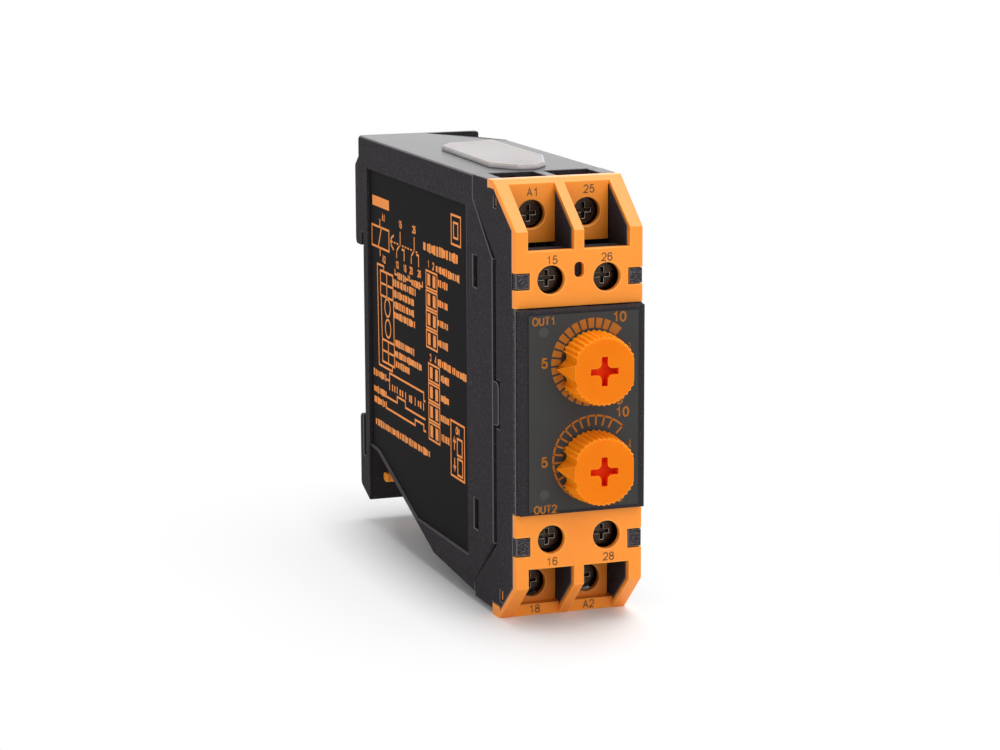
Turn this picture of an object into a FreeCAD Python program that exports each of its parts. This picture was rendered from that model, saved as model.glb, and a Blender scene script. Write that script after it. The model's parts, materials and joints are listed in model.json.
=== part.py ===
"""Slim reversing timer relay for a 35 mm mounting rail, built piece by piece.

Frame: X across the width, +Y towards the rail, +Z up, millimetres.
The origin lies on the rail seat, at mid width, on the rail's centre line.
Front features use two local measures: "depth" behind the face of the terminal
covers, and "height" above the middle of the front.
"""
import FreeCAD, Part
import math
import os

V = FreeCAD.Vector

# Envelope
MODULE_WIDTH = 22.5          # overall width across X
BODY_DEPTH = 79.5            # terminal cover face to rail seat
FACE_MID_Z = -0.8            # middle of the front relative to the rail centre
EDGE_ROUND = 0.5             # rounding of the long outer edges
BEYOND = 60.0                # reach of cutting tools that run clear of the part

# Heights of the front, one above the other from the middle of the panel
PANEL_HEIGHT = 32.9          # raised panel between the covers
COVER_GAP = 0.2              # panel to cover
FRONT_ROW_RISE = 4.35        # cover edge to the front screws
WINDOW_RISE = 4.7            # front screws to the pocket windows
BEVEL_RISE = 3.1             # window edge to the start of the bevel
REAR_ROW_RISE = 4.6          # window edge to the rear screws
UPPER_LIP_RISE = 5.7         # upper rear screws to the top
LOWER_LIP_RISE = 5.0         # lower rear screws to the lip's underside

# Rail and rear of the housing
RAIL_WIDTH = 35.0            # standard rail, across its flanges
RAIL_THICKNESS = 1.0
RAIL_CLEARANCE = 0.15        # between a rail edge and its notch
FLANGE_GAP = 0.4             # spare room behind a rail flange
HOOK_REACH = 2.4             # how far the upper hook covers the rail flange
HOOK_BACK = 4.5              # rear face of the upper hook
HOOK_DROP = 5.6              # hook's rear face begins this far below the top
HOOK_SLANT = 1.4             # slant above the hook's rear face
REAR_TOP_Y = 2.8             # rear face above the hook
REAR_ROUND = 1.0             # corners of the rear outline
SEAT_STEP = 0.1              # notch walls stand back from the rail seat
FOOT_REACH = 1.4             # how far the foot covers the lower flange
FOOT_BACK = 3.2              # rear face of the foot
FOOT_FRONT = -2.1            # front face of the foot
FOOT_HEEL_Z = -29.5          # where the foot's bottom begins to slant
FOOT_TIP_Z = -31.6           # lowest edge of the foot
LOWER_NOTCH_Z = -23.7        # bottom of the lower rail slot

# Underside of the housing, from the foot forward
BELLY_FOOT_Z = -21.3         # underside at the foot
BELLY_STEP_Y = -7.0
BELLY_STEP_Z = -21.8
BELLY_KNEE_Y = -38.9
BELLY_KNEE_RISE = 1.5        # knee above the underside at the joint
BELLY_SET_UP = 1.5           # underside at the joint above the lower lip

# Walls
SIDE_WALL = 1.8
SHELL_WALL = 1.6             # top, rear and underside
FIT = 0.15                   # general assembly clearance
SLIDE_GAP = 0.1              # clearance of sliding and turning pieces
BOARD_GAP = 0.2              # circuit boards to the walls

# Joint between housing and hood, in front measures
JOINT_DEPTH_ENDS = 19.0      # at the top and bottom edges
JOINT_DEPTH_MID = 9.7        # along the middle of the side
JOINT_HEIGHT_MID = 23.4      # half height of the middle stretch
JOINT_DROP = 4.0             # slanted stretch ends this far below the top
JOINT_RISE = 1.8             # and this far above the underside
JOINT_GAP = 0.1
GROOVE_WIDTH = 0.9           # shadow groove ahead of the joint
GROOVE_DEPTH = 1.05
TAB_HEIGHT = 7.2             # locating tab on the housing's front edge
TAB_REACH = 2.3
TAB_THICKNESS = 0.95
TAB_SET_IN = 0.15            # tab's side below the housing's side
TAB_ROUND = 1.1
TAB_ROOT = 0.3               # tab sunk into the housing's wall
TAB_ROOM = 0.35              # recess around the tab
SNAP_DEPTH = 18.0            # snap windows near the joint
SNAP_WIDTH = 2.2
SNAP_HEIGHT = 20.2
SNAP_LENGTH = 5.2
SNAP_SET_IN = 0.9            # snap lug below the side

# Label recess in the left side, in front measures where not named Y
RECESS_DEEP = 0.6
RECESS_RIM = 0.5             # rim left along the slanted underside
RECESS_REAR_Y = -2.6
RECESS_FRONT_DEPTH = 22.2
RECESS_DROP = 5.5            # top edge below the body's top
RECESS_RISE = 5.6            # floor above the underside at the joint

# Scoop at the rear of the top face
SCOOP_START_X = 0.9
SCOOP_REAR_Y = 0.6
SCOOP_LENGTH = 18.0
SCOOP_DEEP = 1.2

# Hood
HOOD_SET_IN_REAR = 0.05      # side at the joint, inside the module width
HOOD_SET_IN_FACE = 0.4       # side at the terminal cover face
PANEL_SET_IN = 0.7           # side of the raised panel
PANEL_PROUD = 1.8            # panel ahead of the terminal cover face
PANEL_WALL = 1.8
PANEL_ROUND = 0.4
CHEEK_WALL = 2.65            # side cheeks beside the terminals
PARTITION = 1.7              # wall between neighbouring terminals
SHELF = 1.2                  # wall between terminals and electronics
CHAMBER_BACK = 19.4          # rear wall of the terminal chambers
CHAMBER_WALL = 1.2
FLOOR_GAP = 0.3              # pocket floor below the window's edge
FLOOR_THICKNESS = 1.0
FLOOR_REACH = 6.4
SKIRT_REACH = 21.6           # how far the skirts reach into the housing
SKIRT_DROP = 3.0             # skirts shorter than the joint's ends
HOOD_BASE_RISE = 0.9         # underside of the cheeks above the lower lip
OVERLAP = 0.2                # walls of one moulding sunk into each other

# Terminal covers, in front measures
COVER_WALL = 1.3
RIB_MID = 1.7                # width of the middle rib
POCKET_DEPTH = 9.0           # pocket wall with the rear screw holes
UPPER_LIP_DEPTH = 9.9
UPPER_LIP_THICK = 1.4
LOWER_LIP_DEPTH = 7.4
LOWER_LIP_THICK = 1.9
LIP_REACH = 3.0              # lip, front to back
UPPER_LATCH_RISE = 2.95      # latch notches above the cover's inner edge
UPPER_LATCH_TALL = 2.7
LOWER_LATCH_RISE = 3.75
LOWER_LATCH_TALL = 3.1
LATCH_OVERLAP = 0.25         # latch notch past the cheek's inner face
LATCH_SET_BACK = 0.05        # latch lug behind the cover face
COVER_ROUND = 0.45
PEG_WIDTH = 1.5              # locating pegs of the covers, along the height
UPPER_PEG_RISE = 3.8         # pegs above the start of the bevel
LOWER_PEG_RISE = 2.6
PEG_REACH = 2.2              # peg length behind the rib
PEG_SET_IN = 0.7             # peg inside the cheek's side
PEG_THICK = 0.9              # across X
NOSE_LONG = 1.0              # snap nose at the peg's end
NOSE_SET_IN = 0.15           # nose inside the cheek's side
VENT_WIDTH = 1.6             # small oval hole in the upper face
VENT_LENGTH = 2.5
VENT_RISE = 1.4              # above the front screws

# Terminals
FRONT_ROW_DEPTH = 2.4        # face of the front screws
REAR_ROW_DEPTH = 10.8        # face of the rear screws
SCREW_HOLE_R = 2.3
HEAD_R = 2.1
HEAD_THICK = 1.1
SHANK_R = 1.5
SCREW_CROSS_SPAN = 2.6
SCREW_CROSS_ARM = 0.6
SCREW_CROSS_DEEP = 0.8
THREAD_GAP = 0.08            # screw shank in the clamp's thread hole
SCREW_END_GAP = 0.05         # screw end to the contact bar
CLAMP_TRAVEL = 1.25
CLAMP_WALL = 1.0
CLAMP_SIDE = 0.8
CLAMP_INNER = 4.2
CLAMP_HEIGHT = 4.4
WIRE_GAP = 2.4
BAR_THICK = 0.8
BAR_WIDTH = 3.5
BAR_TAIL = 2.35
BAR_ARM = 1.6                # cross arm of the right bars
BAR_LEFT_END = 22.9          # depth where the left bars meet the board
BAR_RIGHT_END = 25.4         # depth of the far edge of the right bars

# Front label, lamps and knobs
LABEL_MARGIN_X = 1.25        # panel left bare beside the label
LABEL_MARGIN_Z = 0.65        # and above and below it
LABEL_THICK = 0.2
LABEL_HOLE_GAP = 0.2         # label hole around the panel's stem hole
LED_SET_IN = 1.85            # lamp axis from the cheek's inner face
LED_HEIGHT = 13.1
LED_SIZE = 2.6               # square light guide
KNOB_X = 1.55
UPPER_KNOB_HEIGHT = 7.15
LOWER_KNOB_HEIGHT = -8.95
KNOB_BASE_R = 5.95
KNOB_GAP = 0.2               # knob base above the label
KNOB_TALL = 4.9
KNOB_TAPER = 0.935           # size at the rim over base size
KNOB_TEETH = 40
KNOB_TOOTH = 0.28
KNOB_FLAT = 4.95             # flats left and right, at the face
KNOB_FLAT_LEAN = 0.35        # flats stand this much farther out at the base
KNOB_RIM = 0.2               # chamfer of the face rim
POINTER_TIP = 6.4
POINTER_HALF = 1.75
POINTER_ROOT = 0.6           # pointer sunk into the knob's flat
POINTER_NOSE = 0.5           # pointer's thickness at its tip
HOLLOW_R = 0.9               # hollows in the flat beside the pointer
HOLLOW_SUNK = 0.35
HOLLOW_SIDE = 1.9            # hollow's axis beside the pointer's middle
CROSS_SPAN = 4.7
CROSS_ARM = 1.05
CROSS_DEEP = 1.6
CROSS_ROUND = 0.8
STEM_R = 2.0
STEM_HOLE_R = 2.4
STEM_GAP = 0.05              # stem in the rotor
STEM_REACH = 3.0             # depth where the stem ends, inside the rotor

# Boards and their components
FRONT_BOARD_DEPTH = 5.7
BOARD_THICK = 1.6
BOARD_SET_IN = 1.2           # main board from the cheek's inner face
BOARD_START = 20.9           # front edge of its tall part
TONGUE_MARGIN = 0.45         # tongue to the shelves
POT_SIZE = 9.8
POT_FRONT = 1.3
ROTOR_R = 3.0
ROTOR_THICK = 2.6
ROTOR_PROUD = 0.2            # rotor ahead of the potentiometer's case
RELAY_WIDE = 12.5            # across X
RELAY_DEEP = 10.0
RELAY_HIGH = 28.0
RELAY_FIRST = 28.0           # depth of the first relay
RELAY_PITCH = 11.4
CORE_START = 53.0            # transformer core, front to back
CORE_LONG = 14.0
CORE_WIDE = 12.0
CORE_LOW = -11.0             # height of its lower edge
CORE_LIMB = 2.5
CORE_WINDOW = 3.0
CORE_CENTRE = 3.0
WINDING_PROUD = 1.8          # winding past the core, front and rear
WINDING_GAP = 0.4            # winding inside the core's windows
CAN_1_R = 4.0
CAN_1_TALL = 12.0
CAN_1_DEPTH = 57.0
CAN_2_R = 3.2
CAN_2_TALL = 11.0
CAN_2_DEPTH = 66.0
CAN_HEIGHT = 13.0
VARISTOR_R = 5.0
VARISTOR_THICK = 4.0
VARISTOR_DEPTH = 60.0
VARISTOR_HEIGHT = 24.0
CHIP_THICK = 2.4
CHIP_DEPTH = 40.0
CHIP_LONG = 10.0
CHIP_LOW = 18.0
CHIP_TALL = 7.5
GUIDE_RIB = 1.0
GUIDE_TALL = 2.0
GUIDE_SPACING = 2.0          # guide ribs start this far behind the switch bank

# Switch bank under the top cover
BANK_FRONT = 36.0
BANK_WIDE = 10.0
BANK_HIGH = 5.4
BANK_DROP = 0.5              # bank's top below the roof
BANK_PITCH = 2.54
BANK_WAYS = 4
BANK_END = 0.77              # bank's case past its first and last way
LEVER_LONG = 1.7
LEVER_WIDE = 1.1
LEVER_TRAVEL = 1.8
LEVER_TALL = 1.0
LEVER_SUNK = 0.9
WINDOW_MARGIN_Y = 0.6        # top window inside the bank's outline
WINDOW_MARGIN_X = 1.6
LID_THICK = 0.8
LID_CHAMFER = 0.3
LID_LEG = 0.5
LID_LEG_DROP = 1.3
LID_LEG_MARGIN = 0.8
LID_OUTLINE = ((-2.3, 21.4, 0.8), (0.8, 21.4, 0.8), (3.4, 24.4, 1.0), (6.6, 33.5, 2.0),
               (6.5, 58.8, 1.0), (-2.4, 57.2, 1.5), (-4.9, 53.5, 1.5), (-5.7, 26.5, 1.0))
DIMPLE_X = -0.4              # finger dimple at the cover's front end
DIMPLE_DEPTH = 25.0
DIMPLE_R = 2.2
DIMPLE_SUNK = 0.4

# Rail slider in the foot
SLIDER_HALF = 8.0
SLIDER_THICK = 1.1
SLIDER_TOP_Z = -17.7
SLIDER_BOTTOM_Z = -25.5
SLIDER_TRAVEL = 2.5
SLIDER_STEM_HALF = 3.0
SLIDER_STEM_TALL = 1.8
PULL_HALF = 8.7
PULL_BOTTOM_Z = -28.0
PULL_TALL = 1.6
PULL_THICK = 2.3
PULL_ROUND = 0.6
PULL_GAP = 0.35              # pull bar ahead of the foot
SPRING_FLOOR_Z = -29.3
SPRING_THICK = 0.3
SPRING_HALF = 7.4
SPRING_GAP = 0.02            # spring to its floor and to the blade

# Sizes that follow from the ones above
HALF = MODULE_WIDTH / 2
HOOD_HALF_REAR = HALF - HOOD_SET_IN_REAR
HOOD_HALF_FACE = HALF - HOOD_SET_IN_FACE
PANEL_HALF = HALF - PANEL_SET_IN
CHEEK_INNER = HALF - CHEEK_WALL
LATCH_INNER = CHEEK_INNER - LATCH_OVERLAP
COVER_FACE_BOTTOM = PANEL_HEIGHT / 2 + COVER_GAP
FRONT_ROW_HEIGHT = COVER_FACE_BOTTOM + FRONT_ROW_RISE
WINDOW_HEIGHT = FRONT_ROW_HEIGHT + WINDOW_RISE
FLOOR_HEIGHT = WINDOW_HEIGHT - FLOOR_GAP - FLOOR_THICKNESS
COVER_BEVEL_HEIGHT = WINDOW_HEIGHT + BEVEL_RISE
REAR_ROW_HEIGHT = WINDOW_HEIGHT + REAR_ROW_RISE
TOP_HEIGHT = REAR_ROW_HEIGHT + UPPER_LIP_RISE
TOP_Z = TOP_HEIGHT + FACE_MID_Z
UPPER_LIP_HEIGHT = TOP_HEIGHT
LOWER_LIP_HEIGHT = REAR_ROW_HEIGHT + LOWER_LIP_RISE
BELLY_FRONT_HEIGHT = BELLY_SET_UP - LOWER_LIP_HEIGHT
BELLY_FRONT_Z = BELLY_FRONT_HEIGHT + FACE_MID_Z
HOOD_BASE_HEIGHT = HOOD_BASE_RISE - LOWER_LIP_HEIGHT
JOINT_TOP = TOP_HEIGHT - JOINT_DROP
JOINT_BOTTOM = BELLY_FRONT_HEIGHT + JOINT_RISE
UPPER_LATCH = COVER_FACE_BOTTOM + UPPER_LATCH_RISE
LOWER_LATCH = COVER_FACE_BOTTOM + LOWER_LATCH_RISE
TERMINAL_X = (PARTITION / 2 + CHEEK_INNER) / 2
NOTCH_WIDTH = RAIL_THICKNESS + FLANGE_GAP
RAIL_TOP_Z = RAIL_WIDTH / 2 + RAIL_CLEARANCE
BOARD_X = BOARD_SET_IN - CHEEK_INNER
BOARD_FACE_X = BOARD_X + BOARD_THICK
LED_X = LED_SET_IN - CHEEK_INNER
KNOB_HEIGHTS = (UPPER_KNOB_HEIGHT, LOWER_KNOB_HEIGHT)
PANEL_DEPTH = -PANEL_PROUD
LABEL_DEPTH = PANEL_DEPTH - LABEL_THICK
KNOB_BASE_DEPTH = LABEL_DEPTH - KNOB_GAP
KNOB_FACE_DEPTH = KNOB_BASE_DEPTH - KNOB_TALL
BANK_LONG = BANK_WAYS * BANK_PITCH + 2 * BANK_END
BANK_SLOT = LEVER_LONG + LEVER_TRAVEL + 2 * SLIDE_GAP
BANK_X1 = BOARD_FACE_X + BANK_WIDE
BANK_TOP_Z = TOP_Z - SHELL_WALL - BANK_DROP
BANK_MID_X = BOARD_FACE_X + BANK_WIDE / 2
BANK_MID_DEPTH = BANK_FRONT + BANK_LONG / 2
WINDOW_X0 = BOARD_FACE_X + WINDOW_MARGIN_X
WINDOW_X1 = BANK_X1 - WINDOW_MARGIN_X
WINDOW_D0 = BANK_FRONT + WINDOW_MARGIN_Y
WINDOW_D1 = BANK_FRONT + BANK_LONG - WINDOW_MARGIN_Y
BLADE_Y = (NOTCH_WIDTH - SLIDER_THICK) / 2
STEM_TOP_Z = SLIDER_BOTTOM_Z + SLIDER_STEM_TALL


def fy(depth):
    """Row Y of a depth behind the terminal cover face."""
    return depth - BODY_DEPTH


def fz(height):
    """Row Z of a height above the middle of the front."""
    return height + FACE_MID_Z


def block(x0, x1, y0, y1, z0, z1):
    """Box between two corners given in any order."""
    low = V(min(x0, x1), min(y0, y1), min(z0, z1))
    return Part.makeBox(abs(x1 - x0), abs(y1 - y0), abs(z1 - z0), low)


def front_block(x0, x1, d0, d1, h0, h1):
    """Box between two corners in front measures."""
    return block(x0, x1, fy(d0), fy(d1), fz(h0), fz(h1))


def loop(points, place):
    """Closed wire through (a, b) or (a, b, radius) corners, set in space by place."""
    rounded = []
    count = len(points)
    for index, point in enumerate(points):
        corner = V(point[0], point[1], 0)
        radius = point[2] if len(point) > 2 else 0.0
        before = V(*points[index - 1][:2], 0) - corner
        after = V(*points[(index + 1) % count][:2], 0) - corner
        if radius == 0.0:
            rounded.append((corner, None, corner))
            continue
        half = before.getAngle(after) / 2
        before.normalize()
        after.normalize()
        reach = radius / math.tan(half)
        middle = before + after
        middle.normalize()
        mid = corner + middle * (radius / math.sin(half) - radius)
        rounded.append((corner + before * reach, mid, corner + after * reach))
    edges = []
    for index, (start, mid, end) in enumerate(rounded):
        if mid is not None:
            edges.append(Part.Arc(place(start), place(mid), place(end)).toShape())
        following = rounded[(index + 1) % count][0]
        if end.distanceToPoint(following) > 1e-6:
            edges.append(Part.makeLine(place(end), place(following)))
    return Part.Wire(edges)


def prism_x(points, x0, x1):
    """Prism along X of a (Y, Z) outline."""
    face = Part.Face(loop(points, lambda p: V(x0, p.x, p.y)))
    return face.extrude(V(x1 - x0, 0, 0))


def prism_y(points, y0, y1):
    """Prism along Y of an (X, Z) outline."""
    face = Part.Face(loop(points, lambda p: V(p.x, y0, p.y)))
    return face.extrude(V(0, y1 - y0, 0))


def prism_z(points, z0, z1):
    """Prism along Z of an (X, Y) outline."""
    face = Part.Face(loop(points, lambda p: V(p.x, p.y, z0)))
    return face.extrude(V(0, 0, z1 - z0))


def side_prism(points, x0, x1):
    """Prism along X of a (depth, height) outline."""
    placed = []
    for point in points:
        placed.append((fy(point[0]), fz(point[1])) + tuple(point[2:]))
    return prism_x(placed, x0, x1)


def rod_y(x, height, radius, d0, d1):
    """Round rod along Y between two depths."""
    return Part.makeCylinder(radius, d1 - d0, V(x, fy(d0), fz(height)), V(0, 1, 0))


def inset(points, distance):
    """Outline moved inwards by a distance; the points run clockwise."""
    lines = []
    count = len(points)
    for index in range(count):
        a = V(*points[index], 0)
        b = V(*points[(index + 1) % count], 0)
        along = b - a
        along.normalize()
        normal = V(along.y, -along.x, 0)
        lines.append((a + normal * distance, along))
    moved = []
    for index in range(count):
        p, u = lines[index - 1]
        q, w = lines[index]
        cross = u.x * w.y - u.y * w.x
        step = ((q.x - p.x) * w.y - (q.y - p.y) * w.x) / cross
        corner = p + u * step
        moved.append((corner.x, corner.y))
    return moved


def fuse(shapes):
    """One solid from overlapping shapes."""
    return shapes[0].multiFuse(shapes[1:]).removeSplitter()


def mirrored(shape):
    """Mirror image across the middle plane of the width."""
    return shape.mirror(V(0, 0, 0), V(1, 0, 0))


def soften(shape, radius, chosen):
    """Round the edges that the test picks."""
    edges = [edge for edge in shape.Edges if chosen(edge)]
    return shape.makeFillet(radius, edges)


def save(name, shape):
    """Write one piece."""
    shape.exportStep("parts/" + name + ".step")


def joint_line(shift, margin):
    """Corners of the joint on the side, top first, moved forward by shift."""
    end = JOINT_DEPTH_ENDS - margin
    mid = JOINT_DEPTH_MID - margin - shift
    return [(end, JOINT_TOP), (mid, JOINT_HEIGHT_MID), (mid, -JOINT_HEIGHT_MID), (end, JOINT_BOTTOM)]


def belly():
    """Underside corners from the foot to the joint, in Y and Z."""
    return [(FOOT_FRONT, BELLY_FOOT_Z), (BELLY_STEP_Y, BELLY_STEP_Z),
            (BELLY_KNEE_Y, BELLY_FRONT_Z + BELLY_KNEE_RISE), (fy(JOINT_DEPTH_ENDS), BELLY_FRONT_Z)]


def inner_outline(distance):
    """Housing seen from the side, drawn inwards by a distance and open at the front."""
    ahead = fy(JOINT_DEPTH_ENDS) - BEYOND
    slope = BELLY_KNEE_RISE / (BELLY_KNEE_Y - fy(JOINT_DEPTH_ENDS))
    outline = [(ahead, TOP_Z), (0, TOP_Z), (0, BELLY_FOOT_Z)] + belly()[1:-1]
    outline.append((ahead, BELLY_FRONT_Z - slope * BEYOND))
    return inset(outline, distance)


def rear_housing():
    """Black housing: side walls, top, underside, rail hook and foot in one moulding."""
    foot_top = -RAIL_WIDTH / 2 + FOOT_REACH
    hook_tip = RAIL_TOP_Z - HOOK_REACH
    hook_top = TOP_Z - HOOK_DROP
    outline = [(fy(JOINT_DEPTH_ENDS), TOP_Z), (REAR_TOP_Y, TOP_Z, REAR_ROUND),
               (REAR_TOP_Y, hook_top + HOOK_SLANT), (HOOK_BACK, hook_top),
               (HOOK_BACK, hook_tip, REAR_ROUND), (NOTCH_WIDTH, hook_tip),
               (NOTCH_WIDTH, RAIL_TOP_Z), (-SEAT_STEP, RAIL_TOP_Z), (-SEAT_STEP, hook_tip),
               (0, hook_tip), (0, foot_top), (-SEAT_STEP, foot_top), (-SEAT_STEP, LOWER_NOTCH_Z),
               (NOTCH_WIDTH, LOWER_NOTCH_Z), (NOTCH_WIDTH, foot_top),
               (FOOT_BACK, foot_top, REAR_ROUND), (FOOT_BACK, FOOT_HEEL_Z, REAR_ROUND),
               (FOOT_FRONT, FOOT_TIP_Z)]
    outline += belly()
    outline += [(fy(d), fz(h)) for d, h in reversed(joint_line(0, 0))]
    body = prism_x(outline, -HALF, HALF)

    def outer_edge(edge):
        box = edge.BoundBox
        flat = box.XLength < 1e-6 and abs(abs(box.XMin) - HALF) < 1e-6
        high = box.ZMin > TOP_Z - 1e-6
        low = box.ZMax < BELLY_FOOT_Z + 1e-6 and box.YMax < FOOT_FRONT + 1e-6
        return flat and box.YLength > 2 and (high or low)

    body = soften(body, EDGE_ROUND, outer_edge)
    inner = HALF - SIDE_WALL
    cuts = [prism_x(inner_outline(SHELL_WALL), -inner, inner)]
    # label recess with a rim along the slanted underside
    recess = prism_x(inner_outline(RECESS_RIM), -HALF - 1, -HALF + RECESS_DEEP)
    frame = block(-HALF - 2, 0, fy(RECESS_FRONT_DEPTH), RECESS_REAR_Y,
                  fz(BELLY_FRONT_HEIGHT + RECESS_RISE), fz(TOP_HEIGHT - RECESS_DROP))
    cuts.append(recess.common(frame))
    # snap windows
    for sign in (1, -1):
        cuts.append(front_block(-HALF - 1, HALF + 1, SNAP_DEPTH - SNAP_WIDTH / 2,
                                SNAP_DEPTH + SNAP_WIDTH / 2,
                                sign * SNAP_HEIGHT - SNAP_LENGTH / 2,
                                sign * SNAP_HEIGHT + SNAP_LENGTH / 2))
    # window over the switch bank
    cuts.append(block(WINDOW_X0, WINDOW_X1, fy(WINDOW_D0), fy(WINDOW_D1),
                      TOP_Z - SHELL_WALL - 1, TOP_Z + 1))
    # scoop in the top, behind the cover
    a = V(SCOOP_START_X, SCOOP_REAR_Y, TOP_Z)
    b = V(HALF + 1, SCOOP_REAR_Y, TOP_Z)
    c = V(HALF + 1, SCOOP_REAR_Y, TOP_Z - SCOOP_DEEP)
    d = V(HALF + 1, SCOOP_REAR_Y - SCOOP_LENGTH, TOP_Z)
    sides = [(a, b, c), (a, b, d), (a, c, d), (b, c, d)]
    shell = Part.makeShell([Part.Face(Part.makePolygon(list(s) + [s[0]])) for s in sides])
    cuts.append(Part.makeSolid(shell))
    # slider pocket and its way out through the foot's front
    pocket = SLIDER_HALF + FIT
    cuts.append(block(-pocket, pocket, -SEAT_STEP, NOTCH_WIDTH, SPRING_FLOOR_Z, LOWER_NOTCH_Z + 1))
    slot = SLIDER_STEM_HALF + FIT
    cuts.append(block(-slot, slot, FOOT_FRONT - 1, NOTCH_WIDTH,
                      SLIDER_BOTTOM_Z - SLIDER_TRAVEL - FIT, STEM_TOP_Z + FIT))
    body = body.cut(cuts)
    # locating tabs on the front edges and guide ribs for the main board
    extras = []
    tab_outer = HALF - TAB_SET_IN
    tab = side_prism([(JOINT_DEPTH_MID + TAB_ROOT, TAB_HEIGHT / 2),
                      (JOINT_DEPTH_MID - TAB_REACH, TAB_HEIGHT / 2, TAB_ROUND),
                      (JOINT_DEPTH_MID - TAB_REACH, -TAB_HEIGHT / 2, TAB_ROUND),
                      (JOINT_DEPTH_MID + TAB_ROOT, -TAB_HEIGHT / 2)],
                     -tab_outer, -tab_outer + TAB_THICKNESS)
    extras += [tab, mirrored(tab)]
    roof = TOP_Z - SHELL_WALL
    for x in (BOARD_X - FIT - GUIDE_RIB, BOARD_FACE_X + FIT):
        extras.append(block(x, x + GUIDE_RIB, fy(BANK_FRONT + BANK_LONG + GUIDE_SPACING), -SHELL_WALL,
                            roof - GUIDE_TALL, roof + OVERLAP))
    return fuse([body] + extras)


def hood_plan():
    """Half widths of the hood along the depth, as a prism through the height."""
    half = [(HOOD_HALF_REAR, JOINT_DEPTH_ENDS), (HOOD_HALF_FACE, LATCH_SET_BACK),
            (PANEL_HALF, LATCH_SET_BACK), (PANEL_HALF, PANEL_DEPTH, PANEL_ROUND)]
    right = [(x, fy(d)) + tuple(r) for x, d, *r in half]
    left = [(-x, fy(d)) + tuple(r) for x, d, *r in reversed(half)]
    return prism_z(right + left, -BEYOND, BEYOND)


def bevel_back(sign, depth_shift):
    """Corners behind a cover's face and bevel, from the panel outwards."""
    lip_depth, lip_height, _ = lip_size(sign)
    shift = COVER_WALL + depth_shift
    return [(shift, sign * (PANEL_HEIGHT / 2 + FIT)), (shift, sign * COVER_BEVEL_HEIGHT),
            (lip_depth + shift, sign * lip_height)]


def lip_box(sign, gap):
    """Space of a cover's lip, grown by a gap."""
    lip_depth, height, thick = lip_size(sign)
    depth = min(lip_depth, POCKET_DEPTH)
    return front_block(-HALF - gap, HALF + gap, depth - gap, depth + LIP_REACH + gap,
                       sign * (height - thick - gap), sign * (height + gap))


def terminal_places():
    """Each terminal as (number, x, height, depth, side), left to right, top to bottom."""
    places = []
    for sign in (1, -1):
        for height, depth in ((REAR_ROW_HEIGHT, REAR_ROW_DEPTH), (FRONT_ROW_HEIGHT, FRONT_ROW_DEPTH)):
            for x in (-TERMINAL_X, TERMINAL_X):
                places.append((len(places) + 1, x, sign * height, depth, sign))
    return places


def bar_depth(depth):
    """Front face of a contact bar behind a screw face at this depth."""
    return depth + HEAD_THICK + FIT + CLAMP_TRAVEL + CLAMP_WALL + SLIDE_GAP


def tail_height(height, sign):
    """Lower edge, towards the front's middle, of a bar's tail."""
    return height - sign * (CLAMP_HEIGHT / 2 + 2 * FIT + BAR_THICK)


def contact_bars():
    """Eight bent bars that join the clamps to the main board."""
    bars = []
    for number, x, height, depth, sign in terminal_places():
        near = bar_depth(depth)
        tail = tail_height(height, sign)
        leg = front_block(x - BAR_WIDTH / 2, x + BAR_WIDTH / 2, near, near + BAR_THICK,
                          tail, height + sign * CLAMP_HEIGHT / 2)
        tail_top = tail + sign * BAR_THICK
        if x < 0:
            run = front_block(BOARD_FACE_X, BOARD_FACE_X + BAR_TAIL, near, BAR_LEFT_END, tail, tail_top)
            bars.append(fuse([leg, run]))
            continue
        run = front_block(x - BAR_TAIL / 2, x + BAR_TAIL / 2, near, BAR_RIGHT_END, tail, tail_top)
        arm = front_block(BOARD_FACE_X, x + BAR_TAIL / 2, BAR_RIGHT_END - BAR_ARM, BAR_RIGHT_END,
                          tail, tail_top)
        bars.append(fuse([leg, run, arm]))
    return bars


def lip_size(sign):
    """Depth, height and thickness of the upper (+1) or lower (-1) lip."""
    if sign > 0:
        return UPPER_LIP_DEPTH, UPPER_LIP_HEIGHT, UPPER_LIP_THICK
    return LOWER_LIP_DEPTH, LOWER_LIP_HEIGHT, LOWER_LIP_THICK


def latch_heights(sign):
    """Inner and outer height of a latch notch, away from the middle."""
    if sign > 0:
        return UPPER_LATCH, UPPER_LATCH + UPPER_LATCH_TALL
    return LOWER_LATCH, LOWER_LATCH + LOWER_LATCH_TALL


def hood_profile():
    """Side view of the hood as (depth, height) corners."""
    end = JOINT_DEPTH_ENDS - JOINT_GAP
    upper = bevel_back(1, FIT)
    lower = bevel_back(-1, FIT)
    share = (-HOOD_BASE_HEIGHT - COVER_BEVEL_HEIGHT) / (LOWER_LIP_HEIGHT - COVER_BEVEL_HEIGHT)
    base_depth = lower[1][0] + (lower[2][0] - lower[1][0]) * share
    corners = [(end, HOOD_BASE_HEIGHT)] + list(reversed(joint_line(0, JOINT_GAP))) + [(end, TOP_HEIGHT)]
    corners += [(upper[2][0], TOP_HEIGHT), upper[1], upper[0]]
    corners += [(PANEL_DEPTH, PANEL_HEIGHT / 2, PANEL_ROUND), (PANEL_DEPTH, -PANEL_HEIGHT / 2, PANEL_ROUND)]
    corners += [lower[0], lower[1], (base_depth, HOOD_BASE_HEIGHT)]
    return corners


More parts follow.
